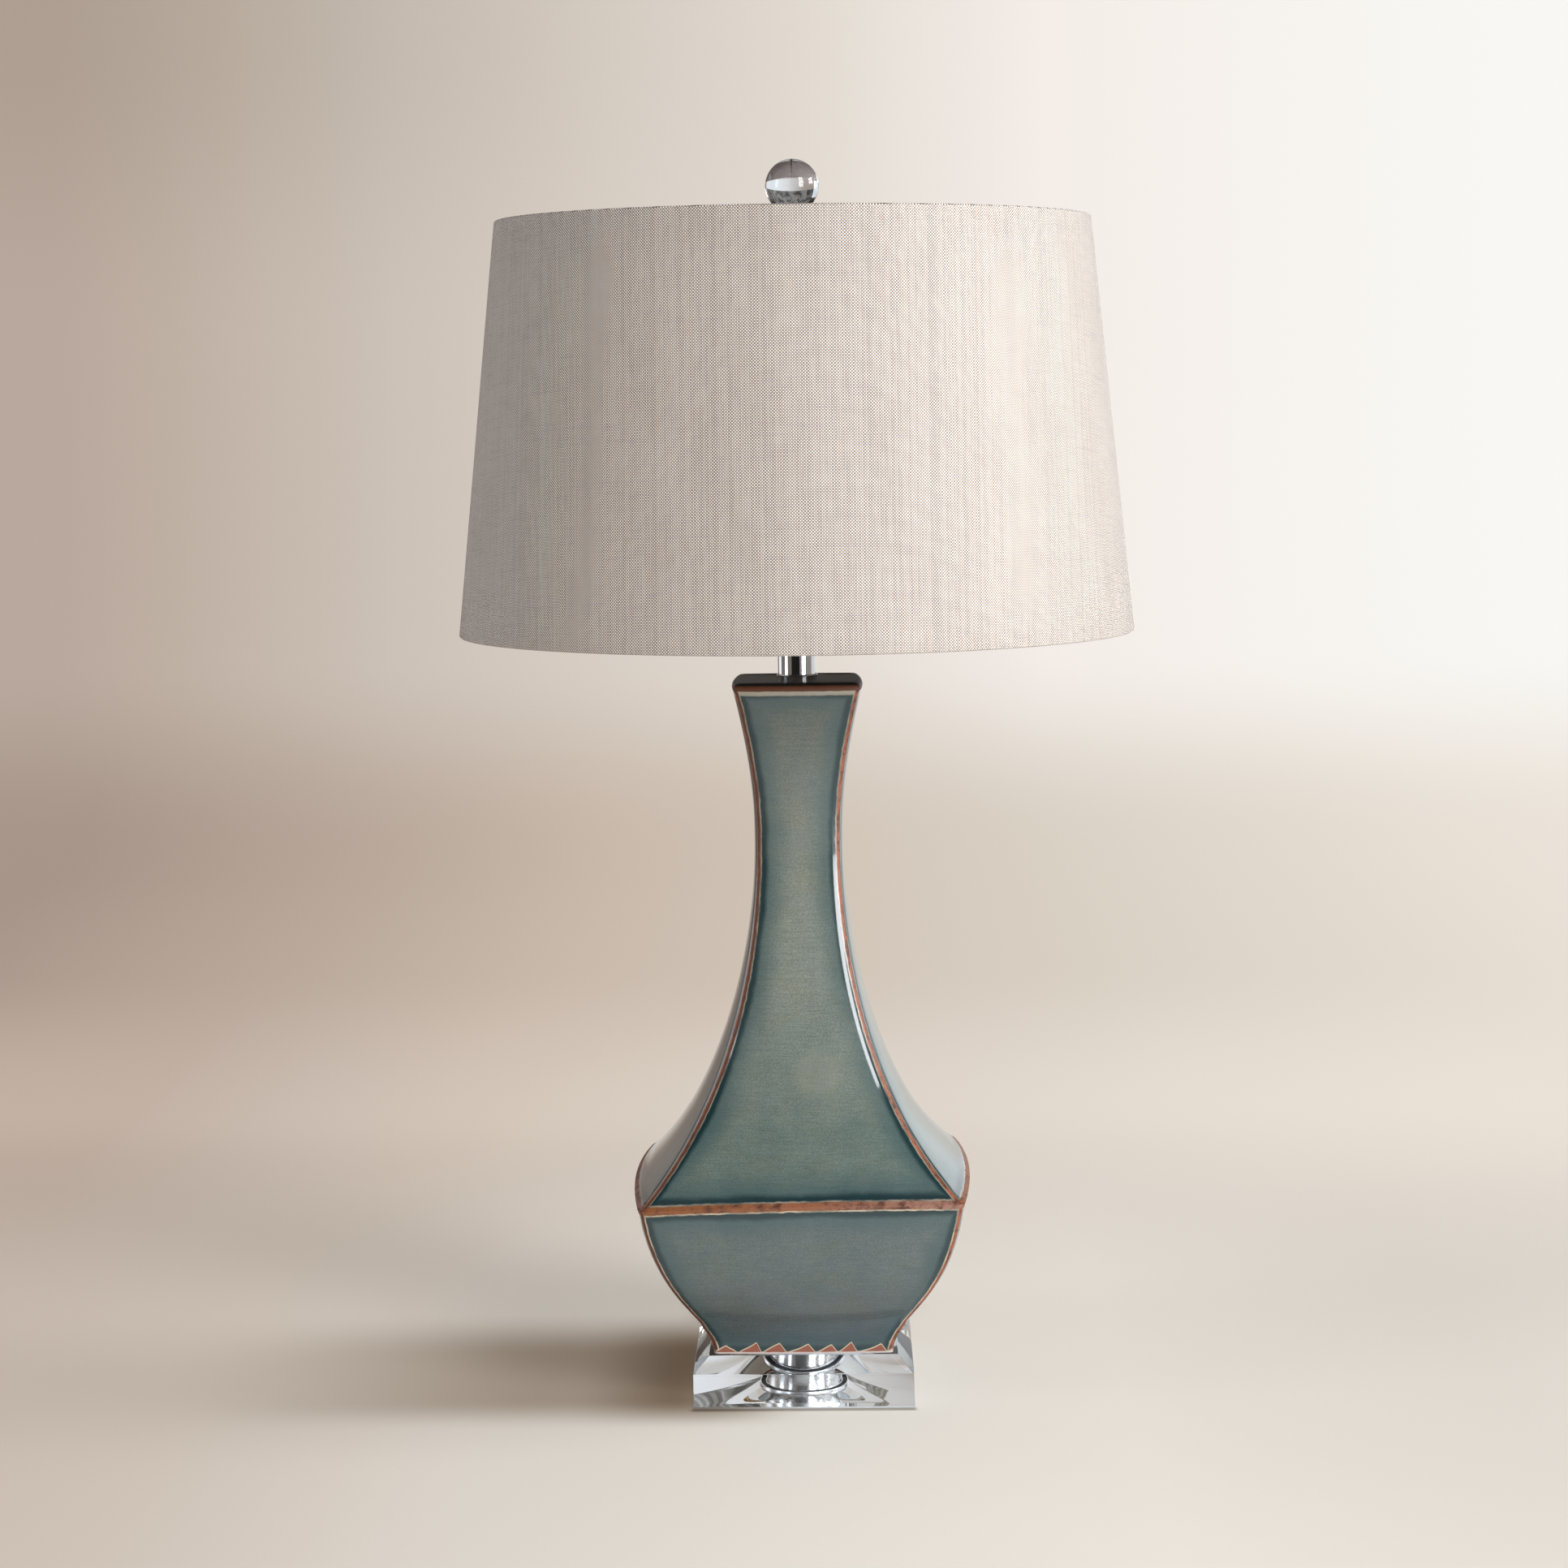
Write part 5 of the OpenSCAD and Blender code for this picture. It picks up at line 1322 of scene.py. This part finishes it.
@dataclass
class Studio:
    """The camera, the lights and the plain pale room."""

    distance: float = 2.134
    eye: float = 0.618
    stand: float = 0.6
    pitch: float = 6.398
    heading: float = 0.24
    roll: float = 0.65
    sensor: float = 36.0
    focal: float = 4257.0
    image: float = 1932.0
    room_size: tuple[float, float] = (14.0, 8.5)
    room_middle: float = -1.95
    curve: float = 0.55
    wall_height: float = 3.5
    air: Rgb = (1.0, 0.86, 0.75)
    air_strength: float = 0.21
    lights: tuple[tuple[Panel, float, Rgb], ...] = (
        (Panel("side", (3.0, 0.05, 1.55), (0.0, 0.0, 0.3), (1.3, 1.0)), 50, (0.93, 0.97, 1.0)),
        (Panel("front", (1.72, -2.0, 1.3), (0.0, 0.0, 1.2), (0.95, 2.45)), 82, (0.955, 0.98, 1.0)),
        (Panel("window", (-2.2, -0.9, 0.9), (0.0, 0.0, 0.5), (0.7, 1.6)), 12, (0.84, 0.92, 1.0)),
        (Panel("rim", (-2.6, 1.6, 1.0), (0.0, 0.0, 0.5), (1.6, 2.2)), 10, (0.86, 0.93, 1.0)))
    cards: tuple[tuple[Panel, float], ...] = (
        (Panel("studio_dark", (-0.5, -3.4, 1.0), (0.0, 0.0, 0.6), (3.2, 3.0)), 0.011),
        (Panel("studio_top", (0.0, 0.3, 3.1), (0.0, 0.0, 0.0), (7.0, 6.0)), 0.011),
        (Panel("above_backdrop", (0.0, 2.45, 2.35), (0.0, 0.0, 2.35), (9.0, 2.3)), 0.2))

    def camera(self) -> None:
        """Places the camera where the photograph was taken from."""
        data = bpy.data.cameras.new("camera")
        data.sensor_width = self.sensor
        data.lens = self.sensor * self.focal / self.image
        data.clip_start, data.clip_end = 0.01, 50.0
        camera = bpy.data.objects.new("camera", data)
        bpy.context.scene.collection.objects.link(camera)
        stand = math.radians(self.stand)
        turn = Matrix.Rotation(math.radians(self.stand + self.heading), 4, "Z")
        nod = Matrix.Rotation(math.radians(90 - self.pitch), 4, "X")
        lean = Matrix.Rotation(math.radians(-self.roll), 4, "Z")
        place = Matrix.Translation((self.distance * math.sin(stand), -self.distance * math.cos(stand), self.eye))
        camera.matrix_world = place @ turn @ nod @ lean
        bpy.context.scene.camera = camera

    def light(self, panel: Panel, watts: float, color: Rgb) -> None:
        """Adds one soft light.

        Args:
            panel: Its name, place and size.
            watts: Its power.
            color: Its colour.
        """
        data = bpy.data.lights.new(panel.name, "AREA")
        data.shape = "RECTANGLE"
        data.size, data.size_y = panel.size
        data.energy = watts
        data.color = color
        lamp = bpy.data.objects.new(panel.name, data)
        bpy.context.scene.collection.objects.link(lamp)
        lamp.location = panel.at
        lamp.rotation_euler = panel.turn("-Z")

    def room(self) -> None:
        """Models the floor, which curves up into a wall, and paints both from warm beige to near white."""
        edge = self.room_middle + self.room_size[1] / 2
        piece = add("room_sweep", bpy.ops.mesh.primitive_plane_add, size=1, location=(0, self.room_middle, 0))
        piece.scale = (*self.room_size, 1.0)
        settle(piece)

        def sweep() -> None:
            """Turns the far edge up and raises it into a wall."""
            pick_edges(piece, lambda co: co.y > edge - 0.1)
            bpy.ops.mesh.spin(steps=16, angle=-math.pi / 2, center=(0, edge, self.curve), axis=(1, 0, 0))
            bpy.ops.mesh.extrude_region_move(TRANSFORM_OT_translate={"value": (0, 0, self.wall_height)})

        in_edit(piece, sweep)
        smooth(piece, 60)
        paint(piece, RoomPaint().make())

    def card(self, panel: Panel, shade: float) -> None:
        """Hangs a dark card that only polished and clear pieces see.

        Args:
            panel: Its name, place and size.
            shade: How light it is, from 0 to 1.
        """
        piece = add(panel.name, bpy.ops.mesh.primitive_plane_add, size=1, location=panel.at, rotation=panel.turn("Z"))
        piece.scale = (*panel.size, 1.0)
        settle(piece)
        finish = Finish(panel.name + "_cloth", roughness=0.9)
        finish.feed(base_color=finish.ramp(finish.noise(finish.point(), 2.5), (0.42, (0.3 * shade,) * 3),
                                           (0.58, (1.5 * shade,) * 3)))
        paint(piece, finish.material)
        piece.visible_camera = piece.visible_shadow = piece.visible_diffuse = False

    def build(self) -> None:
        """Builds the room, its lights and the camera."""
        self.camera()
        self.room()
        for light in self.lights:
            self.light(*light)
        for card in self.cards:
            self.card(*card)
        scene = bpy.context.scene
        world = bpy.data.worlds.new("room_air")
        world.use_nodes = True
        scene.world = world
        background = world.node_tree.nodes["Background"]
        background.inputs["Color"].default_value = self.air + (1.0,)
        background.inputs["Strength"].default_value = self.air_strength
        scene.view_settings.view_transform = "Standard"
        LOG.info("room, lights and camera are in place")


def main() -> None:
    """Builds the lamp piece by piece and the room round it."""
    logging.basicConfig(level=logging.INFO, format="%(message)s")
    Studio().build()
    for assembly in (Cord(), Base(), Vase(), Shade(), Fittings()):
        assembly.build()
        LOG.info("%s is done", type(assembly).__name__)


if __name__ == "__main__":
    main()
